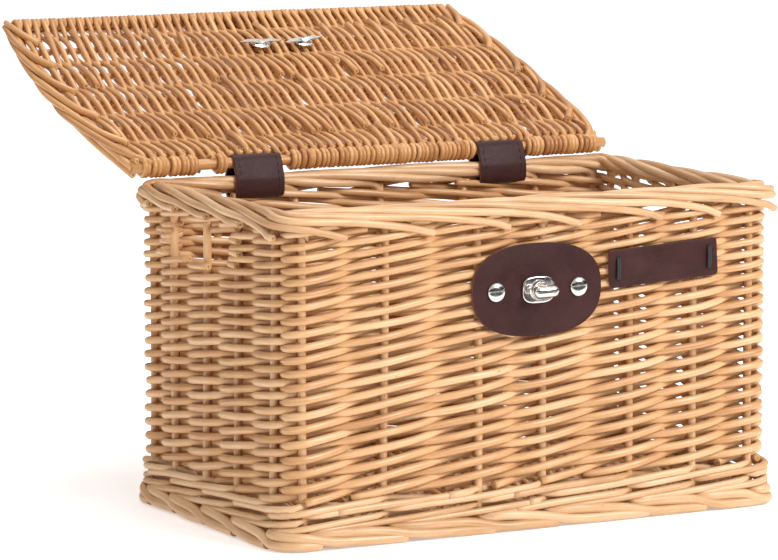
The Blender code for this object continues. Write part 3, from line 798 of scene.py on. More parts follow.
# ---- Wall ----
@dataclass
class Siding:
    """Wall randed with one rod after another, each rising to the right."""

    track: WallTrack
    turns: int = 32
    low_pitch: float = 0.0108
    pitch_loss: float = 0.0000645
    low_radius: float = 0.00312
    high_radius: float = 0.00258
    half_wall: float = 0.0079
    step: float = 0.0065
    sway: float = 0.00045
    hook: float = 0.011
    seed: int = 21
    bottom: float = field(init=False)
    top: float = field(init=False)
    holes: list[tuple[float, float]] = field(init=False)
    hole_low: float = field(init=False)
    hole_high: float = field(init=False)

    def __post_init__(self) -> None:
        """Read the wall's height and its hand-holes from the frame."""
        low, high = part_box("siding")
        self.bottom, self.top = low.z, high.z
        openings = {item["name"]: item for item in FRAME["record"]["physics"]["openings"]}
        gaps = [item for name, item in openings.items() if "finger_gap" in name]
        self.hole_low = min(item["box_m"][0][2] for item in gaps) - 0.001
        self.hole_high = max(item["box_m"][1][2] for item in gaps) + 0.001
        self.holes = []
        for side in ("left", "right"):
            ends = sorted(self.track.distance(node_middle(f"stake_{side}_{number}")) for number in (2, 4))
            self.holes.append((ends[0], ends[1]))

    def height(self, level: float) -> float:
        """Height of the weave at a count of whole rounds."""
        return self.bottom + self.low_pitch * level - self.pitch_loss * level * level

    def in_hole(self, along: float, height: float, margin: float = 0.0) -> bool:
        """Whether a place lies in one of the hand-holes."""
        lap = along % self.track.length
        inside = any(low - margin < lap < high + margin for low, high in self.holes)
        return inside and self.hole_low - 0.001 < height < self.hole_high + 0.001

    def build(self, finishes: Finishes) -> bpy.types.Object:
        """Weave the wall.

        Args:
            finishes: Materials.

        Returns:
            The wall.
        """
        bundle = RodBundle(sides=8, seed=self.seed)
        chance = random.Random(self.seed)
        per_lap = self.turns / 2
        for turn in range(self.turns):
            start = self.track.length * turn / self.turns
            phase = chance.uniform(0, math.tau)
            runs, run = [], []
            along = start - self.step
            while True:
                along += self.step
                level = (along - start) / self.track.length * per_lap
                height = self.height(level)
                if height > self.top + 0.001:
                    break
                count = self.track.stake_count(along)
                radius = self.radius(height)
                weave = math.cos(math.pi * (count + turn))
                weave = math.copysign(abs(weave) ** 0.8, weave)
                out = (self.half_wall - radius) * weave
                sway = (self.sway * math.sin(along * 31.0 + phase)
                        + self.sway * 0.7 * math.sin(along * 83.0 + phase * 3))
                if self.in_hole(along, height):
                    runs.append(run)
                    run = []
                    continue
                run.append((along, out, height + sway))
            runs.append(run)
            tone = chance.betavariate(1.3, 1.9)
            for run in runs:
                self.lay(bundle, run, tone, chance)
        return bundle.finish("woven_wall", Body.BASKET, finishes.wall, finishes.cut, ("siding",))

    def radius(self, height: float) -> float:
        """Radius of the rods at a height."""
        share = (height - self.bottom) / (self.top - self.bottom)
        return self.low_radius + (self.high_radius - self.low_radius) * share

    def lay(self, bundle: RodBundle, run: list[tuple[float, float, float]], tone: float,
            chance: random.Random) -> None:
        """Lay one rod, and hook its ends round the stake beside a hand-hole.

        Args:
            bundle: Bundle that takes the rod.
            run: Distance, offset and height at each point.
            tone: Tone of the rod.
            chance: Source of small differences.
        """
        if len(run) < 4:
            return
        line = list(run)
        for end in (0, -1):
            along, out, height = line[end]
            onward = 1 if end else -1
            if not self.in_hole(along + onward * self.step * 1.5, height, 0.001):
                continue
            reach = self.track.stake_radius + self.radius(height)
            away = math.copysign(1.0, out)
            hook = [(along + onward * 0.0035, 0.0, height + 0.0008),
                    (along + onward * 0.001, -away * reach, height + 0.0012),
                    (along - onward * self.hook * chance.uniform(0.6, 1.3), -away * reach * 0.9,
                     height + 0.0005)]
            line = line + hook if end else hook[::-1] + line
        points = [self.track.at(*place) for place in line]
        if len(line) > len(run):
            points = smooth_line(points, 2)
        share = tone + chance.uniform(-0.08, 0.08)
        bundle.add(points, self.radius(line[0][2]), self.radius(line[-1][2]), min(1.0, max(0.0, share)))


@dataclass
class Stakes:
    """Upright rods, one object each, that the wall is woven round."""

    track: WallTrack
    lean: float = 0.0007
    steps: int = 14
    seed: int = 5

    def build(self, finishes: Finishes) -> None:
        """Set every stake.

        Args:
            finishes: Materials.
        """
        chance = random.Random(self.seed)
        for name in node_names("stake_"):
            low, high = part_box(name)
            middle = (low + high) / 2
            radius = (high.x - low.x) / 2
            phases = [chance.uniform(0, math.tau) for _ in range(2)]
            points = []
            for step in range(self.steps + 1):
                share = step / self.steps
                height = low.z + (high.z + 0.004 - low.z) * share
                points.append(Vector((middle.x + self.lean * math.sin(3.0 * share + phases[0]),
                                      middle.y + self.lean * math.sin(4.0 * share + phases[1]), height)))
            bundle = RodBundle(sides=12, seed=chance.randrange(1000))
            bundle.add(points, radius * 1.20, radius * 1.08)
            bundle.finish("rod_" + name, Body.BASKET, finishes.wall, finishes.cut, (name,))


@dataclass
class Waling:
    """Upsett: courses of three rods, each in front of two stakes and behind one."""

    track: WallTrack
    courses: int = 2
    rods: int = 3
    radius: float = 0.00262
    step: float = 0.0062
    out: float = 0.0068
    seed: int = 31

    def build(self, finishes: Finishes) -> bpy.types.Object:
        """Wale the foot of the wall.

        Args:
            finishes: Materials.

        Returns:
            The waling.
        """
        low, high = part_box("upsett_waling")
        pitch = (high.z - low.z) / self.courses
        bundle = RodBundle(sides=8, seed=self.seed)
        chance = random.Random(self.seed)
        for course in range(self.courses):
            middle = low.z + pitch * (course + 0.5)
            for rod in range(self.rods):
                phase = chance.uniform(0, math.tau)
                cuts = sorted(chance.uniform(0, self.track.length) for _ in range(2))
                for first, last in zip(cuts, cuts[1:] + [cuts[0] + self.track.length]):
                    along, points = first, []
                    while along < last + 0.012:
                        out, height = self.section(along, rod, course, middle, pitch, phase)
                        points.append(self.track.at(along, out, height))
                        along += self.step
                    bundle.add(points, self.radius * 1.08, self.radius * 0.92)
        return bundle.finish("foot_waling", Body.BASKET, finishes.border, finishes.cut,
                             ("upsett_waling",))

    def section(self, along: float, rod: int, course: int, middle: float, pitch: float,
                phase: float) -> tuple[float, float]:
        """Offset and height of a waling rod.

        Args:
            along: Distance along the wall.
            rod: Which of the three.
            course: Which course.
            middle: Height of the course's middle.
            pitch: Height of a course.
            phase: Start of its small waves.

        Returns:
            Distance outwards and height.
        """
        cycle = ((self.track.stake_count(along) + rod + course) / self.rods) % 1.0
        front = 2 / 3
        rise = pitch / 2 - self.radius * 0.55
        if cycle < front:
            share = cycle / front
            out = self.out * min(1.0, 2.6 * math.sin(math.pi * share) ** 0.7)
            height = middle - rise + 2 * rise * share
        else:
            share = (cycle - front) / (1 - front)
            out = -self.out * math.sin(math.pi * share)
            height = middle + rise - 2 * rise * share
        return out, height + 0.0004 * math.sin(along * 47.0 + phase)


# ---- Borders of lapped rods ----
@dataclass
class LappedBorder:
    """Border of rods that start at the stakes and each lie over the tail of the one before."""

    track: WallTrack
    name: str
    node: str
    shape: tuple[tuple[float, float, float], ...]
    radius: float
    tail_radius: float
    tip: float
    seed: int
    spread: float = 0.0006
    inner_shape: tuple[tuple[float, float, float], ...] = ()
    straps: tuple[float, ...] = ()
    strap_half: float = 0.0
    strap_ease: float = 0.016
    strap_inner: float = -0.0030
    strap_outer: float = 0.0058
    bulge: float = 0.0
    bulge_reach: float = 0.055
    tail_drop: float = 0.0052
    end_lift: float = 0.0062

    def build(self, finishes: Finishes) -> bpy.types.Object:
        """Roll the border down.

        Args:
            finishes: Materials.

        Returns:
            The border.
        """
        bundle = RodBundle(sides=10, seed=self.seed)
        chance = random.Random(self.seed)
        for stake in range(len(self.track.stakes)):
            for shape in (self.shape, self.inner_shape):
                if not shape:
                    continue
                points, shift = [], chance.uniform(-0.08, 0.08)
                for index, (gaps, out, height) in enumerate(shape):
                    loose = self.spread if index else 0.0
                    along = self.track.stake_at(stake + gaps + (shift if index > 1 else 0.0))
                    points.append((along, out + chance.uniform(-loose, loose),
                                   height + chance.uniform(-loose, loose)))
                bundle.add(self.bend(points), self.radius * chance.uniform(0.94, 1.06), self.tail_radius,
                           point_tip=self.tip)
        return bundle.finish(self.name, Body.BASKET, finishes.border, finishes.cut, (self.node,))

    def bend(self, points: list[tuple[float, float, float]]) -> list[Vector]:
        """Smooth a line of distance, offset and height, then set it on the track.

        Args:
            points: Distance, offset and height.

        Returns:
            Places along the rod.
        """
        line = smooth_line([Vector(point) for point in points], 8)
        return [self.track.at(*self.press(*place)) for place in line]

    def press(self, along: float, out: float, height: float) -> tuple[float, float, float]:
        """Press a rod into the loop of a hinge strap where it passes one.

        Args:
            along: Distance along the wall.
            out: Distance outwards from the wall's middle.
            height: Height above the floor.

        Returns:
            The place after pressing.
        """
        if not self.straps:
            return along, out, height
        lap = along % self.track.length
        corner = min(abs((lap - place + self.track.length / 2) % self.track.length - self.track.length / 2)
                     for place in self.track.corners)
        out += self.bulge * max(0.0, 1.0 - (corner / self.bulge_reach) ** 2)
        beside = self.track.on_end(lap)
        low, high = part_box(self.node)
        height = max(low.z - self.tail_drop + self.end_lift * beside, height)
        away = min(abs(lap - strap) for strap in self.straps) - self.strap_half
        grip = max(0.0, min(1.0, 1.0 - away / self.strap_ease))
        grip = grip * grip * (3 - 2 * grip)
        tight_out = max(self.strap_inner, min(self.strap_outer, out))
        tight_height = max(low.z + self.radius + 0.0006, min(high.z - self.radius - 0.0004, height))
        return along, out + (tight_out - out) * grip, height + (tight_height - height) * grip


def build_foot(track: WallTrack, finishes: Finishes) -> None:
    """Lap the border that the basket stands on, outside and inside the wall.

    Args:
        track: The wall's track.
        finishes: Materials.
    """
    low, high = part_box("foot_border")
    floor, top = low.z, high.z
    shape = ((0.0, -0.0010, top + 0.005), (0.08, 0.0040, top + 0.0005), (0.36, 0.0074, floor + 0.0118),
             (0.90, 0.0082, floor + 0.0098), (1.30, 0.0086, floor + 0.0056), (1.70, 0.0086, floor + 0.0043),
             (2.20, 0.0080, floor + 0.0042))
    inner = ((0.35, 0.0000, top), (0.60, -0.0040, floor + 0.0076), (1.20, -0.0062, floor + 0.0062),
             (1.90, -0.0052, floor + 0.0040), (2.40, -0.0020, floor + 0.0036))
    LappedBorder(track, "foot_rods", "foot_border", shape, 0.0038, 0.0035, 0.0, 41,
                 inner_shape=inner).build(finishes)


def build_rim(track: WallTrack, finishes: Finishes) -> None:
    """Roll the top border, whose rods go inside, over the top and down the outside.

    Args:
        track: The wall's track.
        finishes: Materials.
    """
    low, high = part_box("rim_border")
    bottom, top = low.z, high.z
    shape = ((0.0, 0.0, bottom - 0.006), (0.10, -0.0020, bottom + 0.0040), (0.60, -0.0066, bottom + 0.0062),
             (1.40, -0.0062, bottom + 0.0108), (2.20, -0.0024, top - 0.0030), (3.00, 0.0034, top - 0.0040),
             (3.80, 0.0074, top - 0.0078), (4.55, 0.0080, bottom + 0.0050), (5.10, 0.0082, bottom + 0.0006),
             (5.42, 0.0092, bottom - 0.0052))
    boxes = [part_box(f"hinge_strap_{side}") for side in ("left", "right")]
    straps = tuple(track.distance((low + high) / 2) for low, high in boxes)
    half = (boxes[0][1].x - boxes[0][0].x) / 2
    LappedBorder(track, "rim_rods", "rim_border", shape, 0.0034, 0.0027, 0.0, 43,
                 straps=straps, strap_half=half, bulge=0.0016).build(finishes)


# ---- Flat weaving of the lid and the base ----
@dataclass
class FlatWeave:
    """Long rods with one rod after another woven to and fro across them."""

    plane: LidPlane | BasePlane
    rods: list[float]
    rod_radii: list[float]
    left: float
    right: float
    pitch: float
    weaver: float
    weaver_tip: float
    bulge_left: float = 0.0
    bulge_right: float = 0.0
    taper: float = 0.0
    bare: tuple[tuple[float, float], ...] = ()
    wraps: float = 1.5
    piece: float = 0.5
    lap: float = 0.02
    points_per_gap: int = 7
    seed: int = 51

    def edge_x(self, share: float, reach: float) -> float:
        """X of a row at a reach, with the lid's sides bulging.

        Args:
            share: 0 for the left side, 1 for the right side.
            reach: Distance from the hinge.

        Returns:
            The X coordinate.
        """
        bow = math.sin(math.pi * max(0.0, min(1.0, reach / self.rods[-1]))) ** 0.8
        left = self.left - self.bulge_left * bow
        right = self.right + self.bulge_right * bow - self.taper * max(0.0, reach / self.rods[-1]) ** 2
        return left + (right - left) * share

    def offset(self, rod: int) -> float:
        """Distance between the middles of a long rod and of the weaver on it."""
        return self.rod_radii[rod] + self.weaver * 0.72

    def row(self, share: float, parity: int, first: int, chance: random.Random) -> list[Vector]:
        """Line of one row from its first long rod to the last.

        Args:
            share: Place of the row from left to right, 0 to 1.
            parity: 0 or 1, for over or under at rod 0.
            first: First long rod that the row reaches.
            chance: Source of small differences.

        Returns:
            X, reach and lift at each point.
        """
        sway, phase = chance.uniform(0.2, 1.0) * self.weaver * 0.62, chance.uniform(0, math.tau)
        line = []
        for rod in range(first, len(self.rods) - 1):
            for step in range(self.points_per_gap):
                t = step / self.points_per_gap
                reach = self.rods[rod] + (self.rods[rod + 1] - self.rods[rod]) * t
                amount = self.offset(rod) + (self.offset(rod + 1) - self.offset(rod)) * t
                wave = math.cos(math.pi * (rod + t + parity))
                lift = amount * math.copysign(abs(wave) ** 0.85, wave)
                x = self.edge_x(share, reach) + sway * math.sin(reach * 47.0 + phase)
                line.append(Vector((x, reach, lift)))
        last = len(self.rods) - 1
        line.append(Vector((self.edge_x(share, self.rods[-1]), self.rods[-1],
                            self.offset(last) * math.cos(math.pi * (last + parity)))))
        return line

    def wrap(self, start: Vector, stop: Vector, rod: int, outward: float) -> list[Vector]:
        """Turns of a weaver round a long rod, from one row to the next.

        Args:
            start: Where the first row meets the rod.
            stop: Where the next row leaves it.
            rod: The long rod.
            outward: -1 at the hinge side, 1 at the front.

        Returns:
            Points between the two.
        """
        steps = round(self.wraps * 12)
        radius, begin = self.offset(rod), math.copysign(1.0, start.z)
        spill = (stop.x - start.x) * 0.22
        line = []
        for step in range(1, steps):
            share = step / steps
            angle = share * self.wraps * math.tau
            x = start.x - spill + (stop.x - start.x + 2 * spill) * share
            line.append(Vector((x, self.rods[rod] + outward * radius * math.sin(angle),
                                begin * radius * math.cos(angle))))
        return line

    def weave(self, bundle: RodBundle) -> None:
        """Weave all rows as one line, then cut it into rods that lap at their ends.

        Args:
            bundle: Bundle that takes the rods.
        """
        chance = random.Random(self.seed)
        rows = round((self.right - self.left) / self.pitch / 2) * 2
        line = []
        for number in range(rows):
            share = (number + 0.5) / rows
            x = self.left + (self.right - self.left) * share
            first = 1 if any(low < x < high for low, high in self.bare) else 0
            row = self.row(share, number % 2, first, chance)
            if number % 2:
                row.reverse()
            if line:
                rod = self.nearest_rod(row[0])
                if self.same_rod(line[-1], row[0]):
                    line += self.wrap(line[-1], row[0], rod, 1.0 if rod else -1.0)
                else:
                    line += self.jump(line[-1], row[0])
            line += row
        self.cut(bundle, line, chance)

    def nearest_rod(self, place: Vector) -> int:
        """Number of the long rod nearest to a place."""
        return min(range(len(self.rods)), key=lambda rod: abs(self.rods[rod] - place.y))

    def same_rod(self, first: Vector, second: Vector) -> bool:
        """Whether two places lie at one long rod at the edge of the weave."""
        rod = self.nearest_rod(first)
        return rod == self.nearest_rod(second) and rod in (0, len(self.rods) - 1)

    def jump(self, start: Vector, stop: Vector) -> list[Vector]:
        """Half turn between two rows beside a bare stretch of the hinge rod."""
        rod = self.nearest_rod(stop if stop.y > start.y else start)
        away = min(start.y, stop.y, self.rods[rod] - self.offset(rod))
        middle = (start + stop) / 2
        return [Vector((middle.x, away, 0.0))]

    def cut(self, bundle: RodBundle, line: list[Vector], chance: random.Random) -> None:
        """Cut the long line into tapering rods.

        Args:
            bundle: Bundle that takes them.
            line: X, reach and lift at each point.
            chance: Source of the lengths.
        """
        places = [self.plane.at(*point) for point in line]
        start = 0
        while start < len(places) - 8:
            length, goal, stop = 0.0, self.piece * chance.uniform(0.45, 1.6), start
            while stop < len(places) - 1 and (length < goal or not self.can_cut(line[stop])):
                stop += 1
                length += (places[stop] - places[stop - 1]).length
            end = min(len(places) - 1, stop + 3)
            points = [place.copy() for place in places[start:end + 1]]
            if start:
                lead = points[0] - (points[1] - points[0]).normalized() * self.lap * chance.uniform(0.2, 0.8)
                points.insert(0, lead)
                for index, raise_by in enumerate((1.5, 1.2, 0.7, 0.3)):
                    points[index] += self.plane.at(0.25, 0, 1) * self.weaver * raise_by \
                        - self.plane.at(0, 0, 0) * self.weaver * raise_by
            bundle.add(points, self.weaver * chance.uniform(0.98, 1.10),
                       self.weaver_tip * chance.uniform(0.9, 1.06))
            start = stop

    def can_cut(self, place: Vector) -> bool:
        """Whether a rod may end at a place: on the upper face and away from the two edges."""
        edge = self.lap * 1.2
        return place.z > self.offset(1) * 0.5 and self.rods[0] + edge < place.y < self.rods[-1] - edge

    def long_rods(self, bundle: RodBundle, stubs: tuple[float, float]) -> None:
        """Lay the long rods.

        Args:
            bundle: Bundle that takes them.
            stubs: How far a rod passes the weave at the left and at the right.
        """
        for reach, radius in zip(self.rods, self.rod_radii):
            start, stop = self.edge_x(0.0, reach) - stubs[0], self.edge_x(1.0, reach) + stubs[1]
            points = [self.plane.at(start + (stop - start) * step / 12, reach, 0.0) for step in range(13)]
            bundle.add(points, radius, radius * 0.94)


@dataclass
class Lid:
    """Woven lid with its hinge rod and bound ends."""

    plane: LidPlane
    hinge_radius: float = 0.0042
    rod_radius: float = 0.0026
    weaver: float = 0.00228
    weaver_tip: float = 0.0020
    pitch: float = 0.0039
    inset: float = 0.010
    edge_radius: float = 0.0030
    seed: int = 61

    def weave(self) -> FlatWeave:
        """Size the lid's weave from the frame.

        Returns:
            The weave.
        """
        names = ["lid_hinge_rod"] + [f"lid_rod_{number}" for number in range(2, 7)] + ["lid_front_rod"]
        reaches = []
        for name in names:
            low, high = self.plane.node_box(name)
            reaches.append((low.y + high.y) / 2)
        radii = [self.hinge_radius] + [self.rod_radius] * 5 + [self.rod_radius * 1.15]
        left_low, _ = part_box("lid_binding_left")
        _, right_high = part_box("lid_binding_right")
        bare = []
        for side in ("left", "right"):
            strap_low, strap_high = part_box(f"hinge_strap_{side}")
            bare.append((strap_low.x - 0.0035, strap_high.x + 0.0045))
        loose = bare[0][0] - 0.0215
        bare.append((loose, loose + 0.0095))
        edge = self.inset * 0.6
        return FlatWeave(self.plane, reaches, radii, left_low.x + edge, right_high.x - edge, self.pitch,
                         self.weaver, self.weaver_tip, bulge_left=0.012, bulge_right=0.003,
                         taper=0.014, bare=tuple(bare), seed=self.seed)

    def build(self, finishes: Finishes) -> None:
        """Weave the lid, lay its long rods and bind its ends.

        Args:
            finishes: Materials.
        """
        weave = self.weave()
        bundle = RodBundle(sides=8, seed=self.seed)
        weave.weave(bundle)
        bundle.finish("lid_weavers", Body.LID, finishes.lid, finishes.cut, ("lid_weave",))
        rods = RodBundle(sides=12, seed=self.seed + 1)
        weave.long_rods(rods, (0.003, 0.006))
        rods.finish("lid_long_rods", Body.LID, finishes.lid, finishes.cut,
                    node_names("lid_rod_") + ("lid_hinge_rod", "lid_front_rod"))
        for side, sign in (("left", -1), ("right", 1)):
            self.bind(weave, side, sign, finishes)

    def bind(self, weave: FlatWeave, side: str, sign: int, finishes: Finishes) -> None:
        """Lap rods along one end of the lid.

        Args:
            weave: The lid's weave.
            side: left or right.
            sign: -1 or 1.
            finishes: Materials.
        """
        bundle = RodBundle(sides=10, seed=self.seed + 3 + sign)
        chance = random.Random(self.seed + 7 + sign)
        share = 0.5 + sign / 2
        front = weave.rods[-1]
        laps = ((0.0, -0.012, 0.0052), (0.020, -0.001, 0.0050), (0.055, 0.0052, 0.0026),
                (0.095, 0.0062, -0.0012), (0.130, 0.0030, -0.0040), (0.155, -0.002, -0.0050))
        for start in (-0.004, 0.030, 0.072, 0.114, 0.156, 0.198, 0.236):
            points = []
            for away, out, lift in laps:
                reach = start + away * chance.uniform(0.92, 1.08)
                if reach > front + 0.004:
                    reach = front + 0.004 + (reach - front) * 0.02
                x = weave.edge_x(share, max(0.0, reach)) + sign * (out + chance.uniform(-0.0008, 0.0008))
                points.append(Vector((x, reach, lift)))
                if reach > front:
                    break
            if len(points) > 2:
                line = [self.plane.at(*point) for point in smooth_line(points, 7)]
                bundle.add(line, self.edge_radius * chance.uniform(0.9, 1.1), self.edge_radius * 0.72)
        core = [Vector((weave.edge_x(share, max(0.0, reach)) + sign * 0.001, reach, 0.0005))
                for reach in (-0.002, front * 0.25, front * 0.5, front * 0.75, front + 0.003)]
        bundle.add([self.plane.at(*point) for point in smooth_line(core, 7)], self.edge_radius,
                   self.edge_radius * 0.9)
        under = [Vector((x, y, lift - 0.0052)) for x, y, lift in core]
        bundle.add([self.plane.at(*point) for point in smooth_line(under, 7)], self.edge_radius * 0.9,
                   self.edge_radius * 0.8)
        bundle.finish(f"lid_edge_{side}", Body.LID, finishes.lid, finishes.cut,
                      (f"lid_binding_{side}",))


def build_base(finishes: Finishes) -> None:
    """Weave the base inside the foot.

    Args:
        finishes: Materials.
    """
    plane = BasePlane()
    margin, count, radius = 0.006, 8, 0.0027
    depth = plane.high.y - plane.low.y
    rods = [margin + (depth - 2 * margin) * number / (count - 1) for number in range(count)]
    weave = FlatWeave(plane, rods, [radius] * count, plane.low.x + margin, plane.high.x - margin,
                      pitch=0.0052, weaver=0.0021, weaver_tip=0.0017, wraps=0.5, points_per_gap=5, seed=71)
    bundle = RodBundle(sides=6, seed=71)
    weave.weave(bundle)
    weave.long_rods(bundle, (0.003, 0.003))
    bundle.finish("base_weave", Body.BASKET, finishes.wall, finishes.cut, ("base_panel",))


# ---- Leather ----
@dataclass
class LeatherPiece:
    """Leather cut in the shape of a node, with its edges rounded and burnished."""

    node: str
    name: str
    body: Body
    thick: Vector | None = None
    rounding: float = 0.0006

    def build(self, finishes: Finishes) -> bpy.types.Object:
        """Round a merged copy of the node and dress it.

        Args:
            finishes: Materials.

        Returns:
            The piece.
        """
        bm = merged_copy(self.node)
        round_edges(bm, self.rounding, 3, 40.0)
        thick = self.thick
        for face in bm.faces:
            face.smooth = True
            on_edge = abs(face.normal.x) > 0.75 if thick is None else abs(face.normal.dot(thick)) < 0.6
            face.material_index = int(on_edge)
        return place_piece(self.name, bm, [finishes.leather, finishes.leather_edge], self.body,
                           (self.node,))


def merged_copy(node: str) -> bmesh.types.BMesh:
    """Copy a node's mesh, merge its loose triangles and dissolve its flat faces.

    Args:
        node: Node of the frame.

    Returns:
        The mesh.
    """
    bm = bmesh.new()
    bm.from_mesh(FRAME["nodes"][node].data)
    bmesh.ops.remove_doubles(bm, verts=bm.verts, dist=1e-6)
    bmesh.ops.dissolve_limit(bm, angle_limit=math.radians(0.6), verts=bm.verts, edges=bm.edges)
    return bm


def round_edges(bm: bmesh.types.BMesh, width: float, segments: int, angle: float) -> None:
    """Bevel the edges that are sharper than an angle.

    Args:
        bm: Mesh.
        width: Width of the rounding.
        segments: Facets of the rounding.
        angle: Least angle, in degrees.
    """
    sharp = [edge for edge in bm.edges
             if len(edge.link_faces) == 2 and edge.calc_face_angle(0.0) > math.radians(angle)]
    bmesh.ops.bevel(bm, geom=sharp, offset=width, offset_type="OFFSET", segments=segments, profile=0.5,
                    affect="EDGES", clamp_overlap=True, material=-1)


@dataclass
class HingeStrap:
    """Leather loop round the rim and the hinge rod, stitched near both its edges."""

    side: str
    stitch: float = 0.0033
    gap: float = 0.0022
    margin: float = 0.0042
    thread: float = 0.00034

    def build(self, finishes: Finishes) -> None:
        """Make the loop and its two rows of stitches.

        Args:
            finishes: Materials.
        """
        node = f"hinge_strap_{self.side}"
        LeatherPiece(node, f"leather_strap_{self.side}", Body.BASKET).build(finishes)
        low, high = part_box(node)
        outline = self.outline(node)
        bundle = RodBundle(sides=6, seed=81)
        for x in (low.x + self.margin, high.x - self.margin):
            along, total = 0.0, line_length(outline + outline[:1])
            while along < total:
                points = [self.walk(outline, along + self.stitch * step / 4) for step in range(5)]
                middle = sum(outline, Vector()) / len(outline)
                lifted = []
                for step, point in enumerate(points):
                    outward = (point - middle).normalized()
                    rise = self.thread * (math.sin(math.pi * step / 4) - 0.3)
                    lifted.append(Vector((x, point.y, point.z)) + outward * rise)
                bundle.add(lifted, self.thread, self.thread)
                along += self.stitch + self.gap
        bundle.finish(f"strap_stitching_{self.side}", Body.BASKET, finishes.brown_thread,
                      finishes.brown_thread)

    @staticmethod
    def outline(node: str) -> list[Vector]:
        """Outer outline of the loop, cut through its middle.

        Args:
            node: Node of the strap.

        Returns:
            Points round the loop.
        """
        bm = merged_copy(node)
        low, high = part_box(node)
        geometry = list(bm.verts) + list(bm.edges) + list(bm.faces)
        cut = bmesh.ops.bisect_plane(bm, geom=geometry, plane_co=((low.x + high.x) / 2, 0, 0),
                                     plane_no=(1, 0, 0), clear_inner=True, clear_outer=True)["geom_cut"]
        verts = [item for item in cut if isinstance(item, bmesh.types.BMVert)]
        middle = sum((vert.co for vert in verts), Vector()) / len(verts)
        loops, left = [], set(verts)
        while left:
            vert = left.pop()
            loop = [vert]
            while True:
                ahead = [edge.other_vert(loop[-1]) for edge in loop[-1].link_edges
                         if edge.other_vert(loop[-1]) in left]
                if not ahead:
                    break
                loop.append(ahead[0])
                left.discard(ahead[0])
            loops.append([vert.co.copy() for vert in loop])
        bm.free()
        return max(loops, key=lambda loop: sum((point - middle).length for point in loop) / len(loop))

    @staticmethod
    def walk(outline: list[Vector], along: float) -> Vector:
        """Place at a distance round a closed outline."""
        ring = outline + outline[:1]
        for before, after in zip(ring, ring[1:]):
            step = (after - before).length
            if along <= step:
                return before.lerp(after, along / max(step, 1e-9))
            along -= step
        return ring[-1].copy()


# ---- Metal ----
def spin_profile(bm: bmesh.types.BMesh, profile: list[tuple[float, float]], steps: int,
                 place: Matrix) -> None:
    """Spin radius and height points about Z, then set the shape in place.

    Args:
        bm: Mesh that takes the shape.
        profile: Radius and height, from the axis to the axis.
        steps: Facets round the shape.
        place: Where it goes.
    """
    points = [bm.verts.new((radius, 0.0, height)) for radius, height in profile]
    edges = [bm.edges.new(pair) for pair in zip(points, points[1:])]
    bmesh.ops.spin(bm, geom=points + edges, axis=(0, 0, 1), cent=(0, 0, 0), angle=math.tau, steps=steps,
                   use_merge=True)
    fresh = [vert for vert in bm.verts if not vert.tag]
    bmesh.ops.remove_doubles(bm, verts=fresh, dist=1e-7)
    fresh = [vert for vert in bm.verts if not vert.tag]
    faces = {face for vert in fresh for face in vert.link_faces}
    bmesh.ops.recalc_face_normals(bm, faces=list(faces))
    bmesh.ops.transform(bm, matrix=place, verts=fresh)
    for vert in fresh:
        vert.tag = True


def dome_profile(radius: float, height: float, rim: float, steps: int = 9) -> list[tuple[float, float]]:
    """Profile of a domed head with a rolled rim.

    Args:
        radius: Outer radius.
        height: Height of the crown.
        rim: Thickness at the rim.
        steps: Points over the crown.

    Returns:
        Radius and height, crown first.
    """
    angles = [math.pi / 2 * step / steps for step in range(steps)]
    crown = [(radius * math.sin(angle), rim + (height - rim) * math.cos(angle)) for angle in angles]
    crown[0] = (0.0, height)
    return crown + [(radius, rim * 0.8), (radius * 0.995, rim * 0.3), (radius * 0.95, 0.0), (0.0, 0.0)]


def facing(origin: Vector, outward: Vector, across: Vector) -> Matrix:
    """Matrix whose Z axis points outward and whose X axis points across."""
    z_axis = outward.normalized()
    x_axis = (across - z_axis * across.dot(z_axis)).normalized()
    y_axis = z_axis.cross(x_axis)
    matrix = Matrix((x_axis, y_axis, z_axis)).transposed().to_4x4()
    return Matrix.Translation(origin) @ matrix


